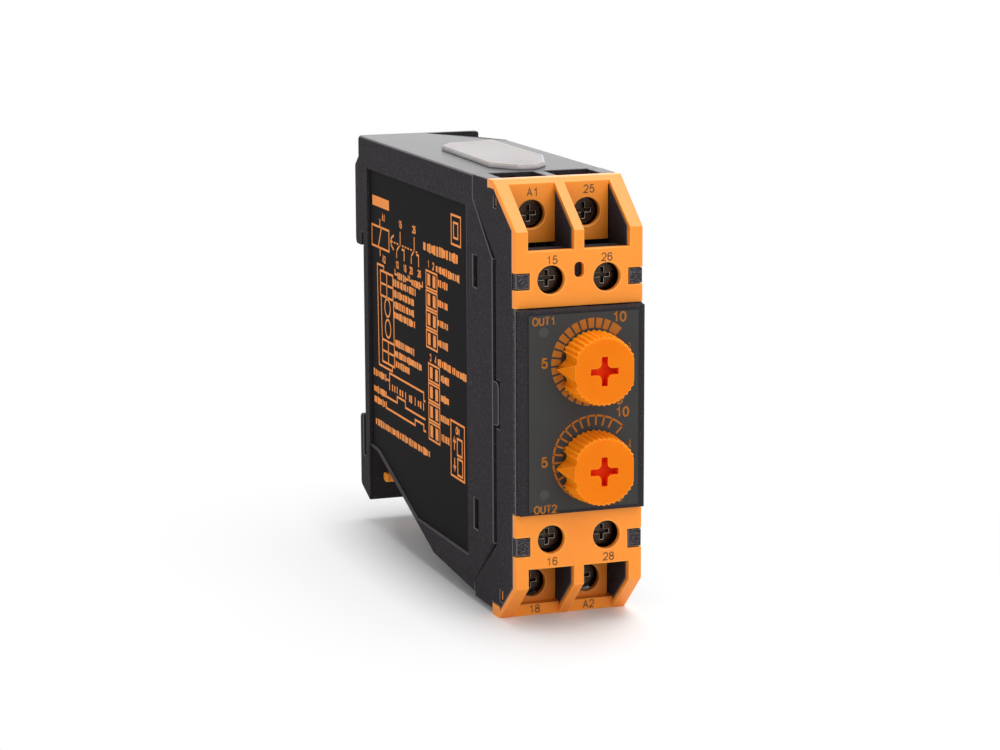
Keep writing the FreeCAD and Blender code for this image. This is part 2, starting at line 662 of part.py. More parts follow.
def front_hood():
    """Black hood: cheeks, raised panel, terminal chambers and skirts."""
    mass = side_prism(hood_profile(), -HALF, HALF).common(hood_plan())
    shelf_out = PANEL_HEIGHT / 2
    shelf_in = shelf_out - SHELF
    inner = CHEEK_INNER + OVERLAP
    cuts = []
    # groove along the joint and the recesses around the locating tabs
    groove = joint_line(GROOVE_WIDTH, JOINT_GAP) + list(reversed(joint_line(-1, JOINT_GAP)))
    notch = TAB_HEIGHT / 2 + TAB_ROOM
    tab_floor = HALF - TAB_SET_IN - TAB_THICKNESS - FIT
    for x in (-1, 1):
        cuts.append(side_prism(groove, x * (HALF - GROOVE_DEPTH), x * (HALF + 1)))
        cuts.append(front_block(x * tab_floor, x * (HALF + 1), JOINT_DEPTH_MID - TAB_REACH - TAB_ROOM,
                                JOINT_DEPTH_MID + 1, -notch, notch))
    # hollow behind the panel and the two terminal chambers
    rear = JOINT_DEPTH_ENDS + BEYOND
    cuts.append(front_block(-CHEEK_INNER, CHEEK_INNER, PANEL_DEPTH + PANEL_WALL, rear, -shelf_in, shelf_in))
    for sign in (1, -1):
        for x in (-1, 1):
            cuts.append(front_block(x * PARTITION / 2, x * CHEEK_INNER, -1, rear, sign * shelf_out,
                                    sign * BEYOND))
            cuts.append(peg(sign, x, FIT))
        cuts.append(lip_box(sign, FIT))
        cuts.append(front_block(-CHEEK_INNER, CHEEK_INNER, POCKET_DEPTH - FIT,
                                POCKET_DEPTH + COVER_WALL + FIT,
                                sign * (WINDOW_HEIGHT - FLOOR_GAP), sign * BEYOND))
    # holes for knob stems and light guides
    for height in KNOB_HEIGHTS:
        cuts.append(rod_y(KNOB_X, height, STEM_HOLE_R, PANEL_DEPTH - 1, 1))
    half = LED_SIZE / 2 + FIT
    for height in (LED_HEIGHT, -LED_HEIGHT):
        cuts.append(front_block(LED_X - half, LED_X + half, PANEL_DEPTH - 1, 1, height - half, height + half))
    parts = [mass.cut(cuts)]
    cavity = prism_x(inner_outline(SHELL_WALL + FIT), -HALF, HALF)
    back = CHAMBER_BACK + CHAMBER_WALL
    for sign in (1, -1):
        # rear wall, spine and shelf of a chamber, its pocket floor and latch lugs
        wall = front_block(-inner, inner, CHAMBER_BACK, back, sign * shelf_in, sign * BEYOND)
        spine = front_block(-PARTITION / 2, PARTITION / 2, JOINT_DEPTH_ENDS - 1, back, sign * shelf_in,
                            sign * BEYOND)
        parts += [wall.common(cavity), spine.common(cavity)]
        parts.append(front_block(-inner, inner, COVER_WALL + FIT, back, sign * shelf_in, sign * shelf_out))
        parts.append(front_block(-inner, inner, COVER_WALL + FIT, FLOOR_REACH, sign * FLOOR_HEIGHT,
                                 sign * (FLOOR_HEIGHT + FLOOR_THICKNESS)))
        low, high = latch_heights(sign)
        for x in (-1, 1):
            parts.append(front_block(x * (LATCH_INNER + FIT), x * (HOOD_HALF_FACE - FIT), LATCH_SET_BACK,
                                     COVER_WALL + FIT + OVERLAP, sign * (low + FIT), sign * (high - FIT)))
    # skirts that reach into the housing, with snap lugs
    lug = SNAP_WIDTH / 2 - FIT
    lug_tall = SNAP_LENGTH / 2 - FIT
    for x in (-1, 1):
        parts.append(front_block(x * CHEEK_INNER, x * (HALF - SIDE_WALL - FIT), JOINT_DEPTH_MID - 2,
                                 SKIRT_REACH, JOINT_BOTTOM + SKIRT_DROP, JOINT_TOP - SKIRT_DROP))
        for height in (SNAP_HEIGHT, -SNAP_HEIGHT):
            parts.append(front_block(x * (CHEEK_INNER + OVERLAP), x * (HALF - SNAP_SET_IN), SNAP_DEPTH - lug,
                                     SNAP_DEPTH + lug, height - lug_tall, height + lug_tall))
    # ways through the chamber walls for the contact bars
    ways = []
    for number, x, height, depth, sign in terminal_places():
        low = tail_height(height, sign)
        left = BOARD_FACE_X if x < 0 else x - BAR_TAIL / 2
        ways.append(front_block(left - FIT, left + BAR_TAIL + FIT, CHAMBER_BACK - 1, back + 1,
                                low - sign * FIT, low + sign * (BAR_THICK + FIT)))
    return fuse(parts).cut(ways)


def bevel_depth(sign, height):
    """Depth of a cover's bevel at a height away from the middle."""
    lip_depth, lip_height, _ = lip_size(sign)
    share = (height - COVER_BEVEL_HEIGHT) / (lip_height - COVER_BEVEL_HEIGHT)
    return lip_depth * share


def peg(sign, x, gap):
    """Locating peg behind an outer rib, with a snap nose; with a gap, its seat and the nose's window."""
    middle = COVER_BEVEL_HEIGHT + (UPPER_PEG_RISE if sign > 0 else LOWER_PEG_RISE)
    start = bevel_depth(sign, middle) + COVER_WALL / 2
    end = start + COVER_WALL + PEG_REACH + gap
    low = sign * (middle - PEG_WIDTH / 2 - gap)
    high = sign * (middle + PEG_WIDTH / 2 + gap)
    outer = HOOD_HALF_FACE - PEG_SET_IN
    tip = HALF + 1 if gap > 0 else HOOD_HALF_FACE - NOSE_SET_IN
    stalk = front_block(x * (outer + gap), x * (outer - PEG_THICK - gap), start, end, low, high)
    nose = front_block(x * tip, x * (outer - OVERLAP), end - NOSE_LONG - 2 * gap, end, low, high)
    return stalk.fuse(nose)


def cover_envelope(sign):
    """Outer form of a terminal cover, its side edges rounded."""
    lip_depth, lip_height, _ = lip_size(sign)
    back = POCKET_DEPTH + LIP_REACH
    profile = [(0, sign * COVER_FACE_BOTTOM), (0, sign * COVER_BEVEL_HEIGHT),
               (lip_depth, sign * lip_height), (back, sign * lip_height),
               (back, sign * COVER_FACE_BOTTOM)]
    half = [(HOOD_HALF_REAR, back + 1), (HOOD_HALF_FACE, -1)]
    right = [(x, fy(d)) for x, d in half]
    left = [(-x, fy(d)) for x, d in reversed(half)]
    solid = side_prism(profile, -HALF, HALF).common(prism_z(right + left, -BEYOND, BEYOND))

    def side_edge(edge):
        box = edge.BoundBox
        outer = min(abs(box.XMin), abs(box.XMax)) > HOOD_HALF_FACE - OVERLAP
        narrow = box.XLength < HALF
        front = box.YMax < fy(0) + 1e-6
        sloped = box.YLength > 1e-3 and box.ZLength > 1.0
        return outer and narrow and (front or sloped)

    return soften(solid, COVER_ROUND, side_edge)


def terminal_cover(sign):
    """Orange cover of the upper (+1) or lower (-1) terminals."""
    lip_depth, lip_height, lip_thick = lip_size(sign)
    face = front_block(-HALF, HALF, 0, COVER_WALL, sign * COVER_FACE_BOTTOM, sign * WINDOW_HEIGHT)
    rib_line = [(0, sign * (WINDOW_HEIGHT - OVERLAP)), (0, sign * COVER_BEVEL_HEIGHT),
                (lip_depth, sign * lip_height), (lip_depth + COVER_WALL, sign * lip_height),
                (COVER_WALL, sign * COVER_BEVEL_HEIGHT), (COVER_WALL, sign * (WINDOW_HEIGHT - OVERLAP))]
    parts = [face]
    for x0, x1 in ((-HALF, -CHEEK_INNER), (-RIB_MID / 2, RIB_MID / 2), (CHEEK_INNER, HALF)):
        parts.append(side_prism(rib_line, x0, x1))
    lip = lip_box(sign, 0)
    below = [(-1, sign * COVER_BEVEL_HEIGHT), (0, sign * COVER_BEVEL_HEIGHT),
             (lip_depth, sign * lip_height), (lip_depth, sign * (lip_height + 1)),
             (-1, sign * (lip_height + 1))]
    lip = lip.cut(side_prism(below, -HALF - 1, HALF + 1))
    parts.append(lip)
    wall_x = CHEEK_INNER - FIT
    parts.append(front_block(-wall_x, wall_x, POCKET_DEPTH, POCKET_DEPTH + COVER_WALL,
                             sign * WINDOW_HEIGHT, sign * (lip_height - lip_thick / 2)))
    parts += [peg(sign, -1, 0), peg(sign, 1, 0)]
    cover = fuse(parts).common(cover_envelope(sign))
    # screw holes
    cuts = []
    for x in (-TERMINAL_X, TERMINAL_X):
        for height, depth in ((FRONT_ROW_HEIGHT, 0), (REAR_ROW_HEIGHT, POCKET_DEPTH)):
            cuts.append(rod_y(x, sign * height, SCREW_HOLE_R, depth - 1, depth + COVER_WALL + 1))
    low, high = latch_heights(sign)
    for x in (-1, 1):
        cuts.append(front_block(x * LATCH_INNER, x * (HALF + 1), -1, COVER_WALL + 1, sign * low, sign * high))
    if sign > 0:
        vent = FRONT_ROW_HEIGHT + VENT_RISE
        flat = (VENT_LENGTH - VENT_WIDTH) / 2
        for shift in (-flat, flat):
            cuts.append(rod_y(0, vent + shift, VENT_WIDTH / 2, -1, COVER_WALL + 1))
        cuts.append(front_block(-VENT_WIDTH / 2, VENT_WIDTH / 2, -1, COVER_WALL + 1,
                                vent - flat, vent + flat))
    return cover.cut(cuts)


def cross_recess(x, height, depth, span, arm, deep, corner):
    """Cross-shaped driver recess cut inwards from a face at this depth."""
    s = span / 2
    a = arm / 2
    outline = []
    for turn in range(4):
        angle = math.pi / 2 * turn
        for px, pz, radius in ((s, a, 0.0), (a, a, corner), (a, s, 0.0)):
            qx = px * math.cos(angle) - pz * math.sin(angle)
            qz = px * math.sin(angle) + pz * math.cos(angle)
            outline.append((x + qx, fz(height) + qz, radius))
    return prism_y(outline, fy(depth) - 1, fy(depth + deep))


def terminal_screw(x, height, depth):
    """Clamp screw with a cross recess; its thread is plain."""
    head = rod_y(x, height, HEAD_R, depth, depth + HEAD_THICK)
    shank = rod_y(x, height, SHANK_R, depth + HEAD_THICK - OVERLAP, bar_depth(depth) - SCREW_END_GAP)
    recess = cross_recess(x, height, depth, SCREW_CROSS_SPAN, SCREW_CROSS_ARM, SCREW_CROSS_DEEP, 0.0)
    return fuse([head, shank]).cut(recess)


def terminal_clamp(x, height, depth):
    """Lifting cage around a contact bar, open for the wire from above and below."""
    bar = bar_depth(depth)
    front = bar - SLIDE_GAP - CLAMP_WALL
    back = bar + BAR_THICK + WIRE_GAP + CLAMP_WALL
    outer = CLAMP_INNER / 2 + CLAMP_SIDE
    cage = front_block(x - outer, x + outer, front, back, height - CLAMP_HEIGHT / 2,
                       height + CLAMP_HEIGHT / 2)
    window = front_block(x - CLAMP_INNER / 2, x + CLAMP_INNER / 2, front + CLAMP_WALL,
                         back - CLAMP_WALL, height - CLAMP_HEIGHT, height + CLAMP_HEIGHT)
    return cage.cut([window, rod_y(x, height, SHANK_R + THREAD_GAP, front - 1, front + CLAMP_WALL + 0.5)])


def toothed_ring(height, depth, scale):
    """Closed polygon around a knob's axis with one tooth and one gap per step."""
    corners = []
    for step in range(2 * KNOB_TEETH):
        angle = math.pi * step / KNOB_TEETH
        reach = scale * (KNOB_BASE_R - KNOB_TOOTH * (step % 2))
        corners.append(V(KNOB_X + reach * math.cos(angle), fy(depth), fz(height) + reach * math.sin(angle)))
    return Part.makePolygon(corners + corners[:1])


def knob(height):
    """Orange setting knob: toothed body with two flats, pointer between hollows, cross recess and stem."""
    base_z = fz(height)
    rings = [toothed_ring(height, KNOB_BASE_DEPTH, 1.0),
             toothed_ring(height, KNOB_FACE_DEPTH + KNOB_RIM, KNOB_TAPER),
             toothed_ring(height, KNOB_FACE_DEPTH, KNOB_TAPER - KNOB_RIM / KNOB_BASE_R)]
    body = Part.makeLoft(rings, True, True)
    # flats, leaning inwards to the face, and the hollows in the left one
    cuts = []
    for x in (-1, 1):
        inner = KNOB_X + x * KNOB_FLAT
        outer = KNOB_X + x * 2 * KNOB_BASE_R
        lean = x * KNOB_FLAT_LEAN
        cuts.append(prism_z([(inner + lean, fy(KNOB_BASE_DEPTH)), (inner, fy(KNOB_FACE_DEPTH)),
                             (inner, fy(KNOB_FACE_DEPTH) - 1), (outer, fy(KNOB_FACE_DEPTH) - 1),
                             (outer, fy(KNOB_BASE_DEPTH))], base_z - KNOB_BASE_R, base_z + KNOB_BASE_R))
    edge = KNOB_X - KNOB_FLAT
    for side in (-HOLLOW_SIDE, HOLLOW_SIDE):
        cuts.append(rod_y(edge + HOLLOW_SUNK - HOLLOW_R, height + side, HOLLOW_R, KNOB_FACE_DEPTH - 1,
                          KNOB_BASE_DEPTH + 1))
    body = body.cut(cuts)
    # pointer wedge on the left flat, sloping down to its tip
    tip = KNOB_X - POINTER_TIP
    root = edge + POINTER_ROOT
    nose = fy(KNOB_BASE_DEPTH - POINTER_NOSE)
    wedge = prism_y([(root, base_z + POINTER_HALF), (root, base_z - POINTER_HALF), (tip, base_z)],
                    fy(KNOB_BASE_DEPTH), fy(KNOB_FACE_DEPTH))
    slope = prism_z([(tip - 1, nose), (tip, nose), (edge, fy(KNOB_FACE_DEPTH)),
                     (edge, fy(KNOB_FACE_DEPTH) - 1), (tip - 1, fy(KNOB_FACE_DEPTH) - 1)],
                    base_z - KNOB_BASE_R, base_z + KNOB_BASE_R)
    stem = rod_y(KNOB_X, height, STEM_R, KNOB_BASE_DEPTH - OVERLAP, STEM_REACH)
    recess = cross_recess(KNOB_X, height, KNOB_FACE_DEPTH, CROSS_SPAN, CROSS_ARM, CROSS_DEEP, CROSS_ROUND)
    return fuse([body, wedge.cut(slope), stem]).cut(recess)


def pot_rotor(height):
    """Rotor inside a potentiometer, turned by the knob's stem."""
    rotor = rod_y(KNOB_X, height, ROTOR_R, POT_FRONT - ROTOR_PROUD, POT_FRONT + ROTOR_THICK)
    return rotor.cut(rod_y(KNOB_X, height, STEM_R + STEM_GAP, -1, STEM_REACH + SLIDE_GAP))


def pot_body(height):
    """Square potentiometer case with the rotor's bore."""
    case = front_block(KNOB_X - POT_SIZE / 2, KNOB_X + POT_SIZE / 2, POT_FRONT, FRONT_BOARD_DEPTH,
                       height - POT_SIZE / 2, height + POT_SIZE / 2)
    return case.cut(rod_y(KNOB_X, height, ROTOR_R + SLIDE_GAP, POT_FRONT - 1,
                          POT_FRONT + ROTOR_THICK + SLIDE_GAP))


def indicator(height):
    """Square light guide from the front board to the label."""
    half = LED_SIZE / 2
    return front_block(LED_X - half, LED_X + half, PANEL_DEPTH + SLIDE_GAP, FRONT_BOARD_DEPTH,
                       height - half, height + half)


def front_label():
    """Foil on the panel, with holes for the knob stems."""
    wide = PANEL_HALF - LABEL_MARGIN_X
    tall = PANEL_HEIGHT / 2 - LABEL_MARGIN_Z
    foil = front_block(-wide, wide, LABEL_DEPTH, PANEL_DEPTH, -tall, tall)
    hole_r = STEM_HOLE_R + LABEL_HOLE_GAP
    return foil.cut([rod_y(KNOB_X, height, hole_r, LABEL_DEPTH - 1, PANEL_DEPTH + 1)
                     for height in KNOB_HEIGHTS])


def main_board():
    """Upright circuit board along the left side, with a tongue to the front board."""
    outline = prism_x(inner_outline(SHELL_WALL + BOARD_GAP), BOARD_X, BOARD_FACE_X)
    tall = outline.common(block(BOARD_X, BOARD_FACE_X, fy(BOARD_START), 0, -BEYOND, BEYOND))
    edge = PANEL_HEIGHT / 2 - SHELF - TONGUE_MARGIN
    tongue = front_block(BOARD_X, BOARD_FACE_X, FRONT_BOARD_DEPTH + BOARD_THICK, BOARD_START + 1, -edge, edge)
    return fuse([tall, tongue])


def front_board():
    """Small board behind the panel that carries potentiometers and lamps."""
    edge = PANEL_HEIGHT / 2 - SHELF - BOARD_GAP
    side = CHEEK_INNER - BOARD_GAP
    return front_block(-side, side, FRONT_BOARD_DEPTH, FRONT_BOARD_DEPTH + BOARD_THICK, -edge, edge)


def board_block(wide, depth, long, low, tall):
    """Boxy component on the main board's right face."""
    return front_block(BOARD_FACE_X, BOARD_FACE_X + wide, depth, depth + long, low, low + tall)


def transformer():
    """Switching transformer: ferrite core with two windows around a wound centre limb."""
    tall = 2 * CORE_LIMB + 2 * CORE_WINDOW + CORE_CENTRE
    core = board_block(CORE_WIDE, CORE_START, CORE_LONG, CORE_LOW, tall)
    left = BOARD_FACE_X + CORE_LIMB
    right = BOARD_FACE_X + CORE_WIDE - CORE_LIMB
    front = CORE_START - WINDING_PROUD
    rear = CORE_START + CORE_LONG + WINDING_PROUD
    lower = CORE_LOW + CORE_LIMB
    upper = lower + CORE_WINDOW + CORE_CENTRE
    core = core.cut([front_block(left, right, front, rear, low, low + CORE_WINDOW) for low in (lower, upper)])
    winding = front_block(left + WINDING_GAP, right - WINDING_GAP, front, rear, lower + WINDING_GAP,
                          upper + CORE_WINDOW - WINDING_GAP)
    return fuse([core, winding])


def upright_can(radius, tall, depth):
    """Round capacitor standing on the main board."""
    return Part.makeCylinder(radius, tall, V(BOARD_FACE_X, fy(depth), fz(CAN_HEIGHT)), V(1, 0, 0))


def lever_depth(index):
    """Depth of one lever's middle in the switch bank."""
    return BANK_MID_DEPTH + (index - (BANK_WAYS - 1) / 2) * BANK_PITCH


def switch_bank():
    """Body of the slide switch under the top cover."""
    body = block(BOARD_FACE_X, BANK_X1, fy(BANK_FRONT), fy(BANK_FRONT + BANK_LONG),
                 BANK_TOP_Z - BANK_HIGH, BANK_TOP_Z)
    half = LEVER_WIDE / 2 + SLIDE_GAP
    slots = []
    for index in range(BANK_WAYS):
        depth = lever_depth(index)
        slots.append(block(BANK_MID_X - BANK_SLOT / 2, BANK_MID_X + BANK_SLOT / 2, fy(depth - half),
                           fy(depth + half), BANK_TOP_Z - LEVER_SUNK - SLIDE_GAP, BANK_TOP_Z + 1))
    return body.cut(slots)


def switch_lever(index):
    """One slide lever of the switch bank, at its left end."""
    depth = lever_depth(index)
    start = BANK_MID_X - BANK_SLOT / 2 + SLIDE_GAP
    return block(start, start + LEVER_LONG, fy(depth - LEVER_WIDE / 2), fy(depth + LEVER_WIDE / 2),
                 BANK_TOP_Z - LEVER_SUNK, BANK_TOP_Z + LEVER_TALL)


def top_cover():
    """Milky cover over the switch window, with two legs that hold it and a finger dimple."""
    top = TOP_Z + LID_THICK
    plate = prism_z([(x, fy(depth), radius) for x, depth, radius in LID_OUTLINE], TOP_Z, top)
    rim = [edge for edge in plate.Edges if edge.BoundBox.ZMin > top - 1e-6]
    parts = [plate.makeChamfer(LID_CHAMFER, rim)]
    for start in (WINDOW_D0 + FIT, WINDOW_D1 - FIT - LID_LEG):
        parts.append(block(WINDOW_X0 + LID_LEG_MARGIN, WINDOW_X1 - LID_LEG_MARGIN, fy(start),
                           fy(start + LID_LEG), TOP_Z - LID_LEG_DROP, TOP_Z + OVERLAP))
    dimple = Part.makeCone(DIMPLE_R, 0, DIMPLE_SUNK, V(DIMPLE_X, fy(DIMPLE_DEPTH), top), V(0, 0, -1))
    return fuse(parts).cut(dimple)


def rail_slider():
    """Orange slider in the foot: blade behind the rail, stem and pull bar."""
    blade = block(-SLIDER_HALF, SLIDER_HALF, BLADE_Y, BLADE_Y + SLIDER_THICK, SLIDER_BOTTOM_Z, SLIDER_TOP_Z)
    back = FOOT_FRONT - PULL_GAP
    front = back - PULL_THICK
    stem = block(-SLIDER_STEM_HALF, SLIDER_STEM_HALF, front, BLADE_Y + OVERLAP, SLIDER_BOTTOM_Z, STEM_TOP_Z)
    web = block(-SLIDER_STEM_HALF, SLIDER_STEM_HALF, front, back, PULL_BOTTOM_Z, STEM_TOP_Z)
    high = PULL_BOTTOM_Z + PULL_TALL
    bar = prism_x([(front, PULL_BOTTOM_Z, PULL_ROUND), (back, PULL_BOTTOM_Z, PULL_ROUND),
                   (back, high, PULL_ROUND), (front, high, PULL_ROUND)], -PULL_HALF, PULL_HALF)
    return fuse([blade, stem, web, bar])


def slider_spring():
    """Bowed leaf spring under the slider's blade."""
    low = SPRING_FLOOR_Z + SPRING_GAP
    high = SLIDER_BOTTOM_Z - SPRING_GAP
    bows = []
    for rise in (0, SPRING_THICK):
        bows.append(Part.Arc(V(-SPRING_HALF, BLADE_Y, low + rise), V(0, BLADE_Y, high - SPRING_THICK + rise),
                             V(SPRING_HALF, BLADE_Y, low + rise)).toShape())
    ends = [Part.makeLine(V(x, BLADE_Y, low), V(x, BLADE_Y, low + SPRING_THICK))
            for x in (-SPRING_HALF, SPRING_HALF)]
    wire = Part.Wire(Part.__sortEdges__(bows + ends))
    return Part.Face(wire).extrude(V(0, SLIDER_THICK, 0))


os.makedirs("parts", exist_ok=True)

save("rear_housing", rear_housing())
save("front_hood", front_hood())
save("upper_terminal_cover", terminal_cover(1))
save("lower_terminal_cover", terminal_cover(-1))
save("front_label", front_label())
save("contact_bars", Part.makeCompound(contact_bars()))
for number, x, height, depth, sign in terminal_places():
    save("terminal_screw_%d" % number, terminal_screw(x, height, depth))
    save("terminal_clamp_%d" % number, terminal_clamp(x, height, depth))
for index, height in enumerate(KNOB_HEIGHTS):
    save("knob_%d" % (index + 1), knob(height))
    save("pot_rotor_%d" % (index + 1), pot_rotor(height))
    save("pot_body_%d" % (index + 1), pot_body(height))
for index, height in enumerate((LED_HEIGHT, -LED_HEIGHT)):
    save("indicator_%d" % (index + 1), indicator(height))
save("main_board", main_board())
save("front_board", front_board())
for index in range(2):
    start = RELAY_FIRST + index * RELAY_PITCH
    save("relay_%d" % (index + 1), board_block(RELAY_WIDE, start, RELAY_DEEP, -RELAY_HIGH / 2, RELAY_HIGH))
save("transformer", transformer())
save("capacitor_1", upright_can(CAN_1_R, CAN_1_TALL, CAN_1_DEPTH))
save("capacitor_2", upright_can(CAN_2_R, CAN_2_TALL, CAN_2_DEPTH))
save("varistor", rod_y(BOARD_FACE_X + VARISTOR_R, VARISTOR_HEIGHT, VARISTOR_R, VARISTOR_DEPTH,
                       VARISTOR_DEPTH + VARISTOR_THICK))
save("controller_chip", board_block(CHIP_THICK, CHIP_DEPTH, CHIP_LONG, CHIP_LOW, CHIP_TALL))
save("switch_bank", switch_bank())
for index in range(BANK_WAYS):
    save("switch_lever_%d" % (index + 1), switch_lever(index))
save("top_cover", top_cover())
save("rail_slider", rail_slider())
save("slider_spring", slider_spring())
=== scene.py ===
"""Looks of a slim reversing timer relay for a mounting rail.

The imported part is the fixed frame. This file rounds and finishes its mouldings, gives every node a
material, prints the dials, numbers and wiring diagram, and sets a plain studio around it.
Measures are metres in the part's frame: X across, +Y towards the rail, +Z up. Print is drawn in
millimetres, in front measures: "depth" behind the terminal covers' face, "height" above mid front.
"""

import json
import math

import bmesh
import bpy
from mathutils import Matrix, Vector
from mathutils.bvhtree import BVHTree
from mathutils.kdtree import KDTree


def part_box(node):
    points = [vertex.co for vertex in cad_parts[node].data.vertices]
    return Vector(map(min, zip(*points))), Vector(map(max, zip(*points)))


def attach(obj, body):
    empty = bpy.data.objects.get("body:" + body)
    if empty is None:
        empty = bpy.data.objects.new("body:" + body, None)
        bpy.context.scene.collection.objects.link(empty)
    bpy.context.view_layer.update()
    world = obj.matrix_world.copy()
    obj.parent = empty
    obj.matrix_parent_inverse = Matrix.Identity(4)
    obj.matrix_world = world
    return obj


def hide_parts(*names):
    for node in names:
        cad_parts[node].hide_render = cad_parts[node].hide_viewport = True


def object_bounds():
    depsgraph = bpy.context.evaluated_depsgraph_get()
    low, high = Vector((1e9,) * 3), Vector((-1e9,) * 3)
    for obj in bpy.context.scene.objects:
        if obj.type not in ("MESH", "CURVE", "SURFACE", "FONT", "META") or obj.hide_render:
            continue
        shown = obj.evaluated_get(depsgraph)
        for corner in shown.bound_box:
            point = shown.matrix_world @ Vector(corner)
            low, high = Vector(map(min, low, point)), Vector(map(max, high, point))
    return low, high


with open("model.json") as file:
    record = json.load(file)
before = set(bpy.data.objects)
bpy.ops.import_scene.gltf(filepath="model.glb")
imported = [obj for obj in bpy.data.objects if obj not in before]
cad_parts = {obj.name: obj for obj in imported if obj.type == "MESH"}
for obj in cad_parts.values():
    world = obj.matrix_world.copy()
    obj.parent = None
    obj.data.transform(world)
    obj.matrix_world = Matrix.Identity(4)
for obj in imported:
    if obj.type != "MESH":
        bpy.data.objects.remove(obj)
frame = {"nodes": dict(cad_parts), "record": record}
CAD_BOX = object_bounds()

bl_info = {
    "name": "Timer relay looks",
    "version": (1, 0, 0),
    "blender": (4, 5, 0),
    "location": "3D View > Sidebar > Relay",
    "description": "Finishes, print and studio for a slim reversing timer relay",
    "category": "Object",
}

MM = 0.001
WELD = 0.002 * MM            # corners nearer than this are one
SHARP = math.radians(32)     # edges that turn more than this are rounded
FLAT = math.radians(0.5)     # faces that turn less than this are joined
CREASE = math.radians(50)    # finished faces that turn more than this keep a crease
TERMINALS = range(1, 9)

# Names of the face attributes that materials read; edge marks faces painted paler, a painted highlight,
# and sunk marks faces painted deep red, a painted shade
EDGE_HIGHLIGHT = "edge"                # rounded edges, and faces as pale as those
SUNK = "sunk"                # the knobs' cross recess

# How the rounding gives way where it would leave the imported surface; shares are of its width
TRIES = 8                    # how often it may give way
STRAY = 0.75                 # share that a face may lie off the surface
CLOSE = 0.3                  # share within which a face may not point against the surface
AGAINST = -0.3               # cosine below which it does
GIVE_REACH = 1.5             # share within which the edges near such a face give way
GIVE_SHARE = 0.35            # what is left of their width
SLIVER = 1e-13               # square metres; a triangle with less than half of this isn't tested
LATTICE_STEPS = 7
LATTICE = [(i / LATTICE_STEPS, j / LATTICE_STEPS) for i in range(1, LATTICE_STEPS - 1)
           for j in range(1, LATTICE_STEPS - i)]     # spots tested in a triangle

# Places read from the frame
LABEL_LOW, LABEL_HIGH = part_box("front_label")
COVER_FACE_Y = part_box("upper_terminal_cover")[0].y
LABEL_DEPTH = (LABEL_LOW.y - COVER_FACE_Y) / MM
MID_Z = (LABEL_LOW.z + LABEL_HIGH.z) / 2
TOP_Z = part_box("rear_housing")[1].z
SCREW_BOXES = [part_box("terminal_screw_%d" % i) for i in TERMINALS]
SCREWS = [((low + high) / 2, (high.x - low.x) / 2) for low, high in SCREW_BOXES]
RIM_REACH = 1.25             # a hole's rim lies within this many radii of its screw's axis

# Places of faces inside a moulding's box, and how near to them counts, millimetres
RECESS_FLOOR_X, RECESS_REACH = -10.65, 0.05     # floor of the recess in the left side
TOP_REACH = 0.2                                 # top of the housing
LUG_DEPTH, LUG_REACH = 0.4, 0.6                 # fronts of the latch lugs
POCKET_DEPTH = 9.0                              # wall with the rear screw holes
LOWER_LIP_DEPTH = 7.4                           # front of the lower lip


def linear(code):
    """An sRGB hex colour as linear red, green, blue and alpha."""
    parts = [int(code[i:i + 2], 16) / 255 for i in (1, 3, 5)]
    return [p / 12.92 if p <= 0.04045 else ((p + 0.055) / 1.055) ** 2.4 for p in parts] + [1.0]


def shaded(shade, share):
    """A linear colour made darker or paler."""
    return [share * part for part in shade[:3]] + [1.0]


def length(name, description, millimetres):
    """A size that a user may change."""
    return bpy.props.FloatProperty(name=name, description=description, default=millimetres * MM,
                                   min=0.0, precision=5, unit="LENGTH")


def angle(name, description, degrees):
    """An angle that a user may change."""
    return bpy.props.FloatProperty(name=name, description=description, default=math.radians(degrees),
                                   subtype="ANGLE", unit="ROTATION")


def colour(name, description, code):
    """A colour that a user may change."""
    return bpy.props.FloatVectorProperty(name=name, description=description, default=linear(code),
                                         size=4, min=0.0, max=1.0, subtype="COLOR")


class RelaySizes(bpy.types.PropertyGroup):
    """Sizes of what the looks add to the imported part"""
    edge: length("Edge round", "Rounding of the mouldings' sharp edges", 0.14)
    fine_edge: length("Fine edge round", "Rounding of the edges of knobs, screws and lid", 0.06)
    rim: length("Rim round", "Rounding of the screw holes' rims", 0.2)
    ink: length("Ink thickness", "How far the print stands off its surface", 0.02)
    dial_radius: length("Dial radius", "Outer radius of the printed scales", 7.1)
    dial_band: length("Dial band", "Width of the printed scales", 1.6)
    dial_gap: length("Dial gap", "Gap between two cells of the filled scale", 0.32)
    dial_line: length("Dial line", "Line width of the outlined scale", 0.32)
    dial_steps: bpy.props.IntProperty(name="Dial steps", description="Even cells of a scale", default=21,
                                      min=2)
    dial_start: angle("Dial start", "Clockwise angle from the top where a scale starts", 135)
    dial_step: angle("Dial step", "Angle of an even cell", 12)
    dial_last: angle("Dial last step", "Angle of the last cell, which is wider", 18)
    dial_figure: length("Dial figures", "Height of the dial numbers", 1.75)
    caption: length("Captions", "Height of the output captions", 1.4)
    terminal_figure: length("Terminal figures", "Height of the terminal numbers", 1.4)
    side_figure: length("Diagram figures", "Height of the numbers in the side diagram", 1.4)
    line: length("Diagram line", "Line width of the side diagram", 0.38)
    lamp: length("Lamp window", "Diameter of the lamp windows in the foil", 1.6)


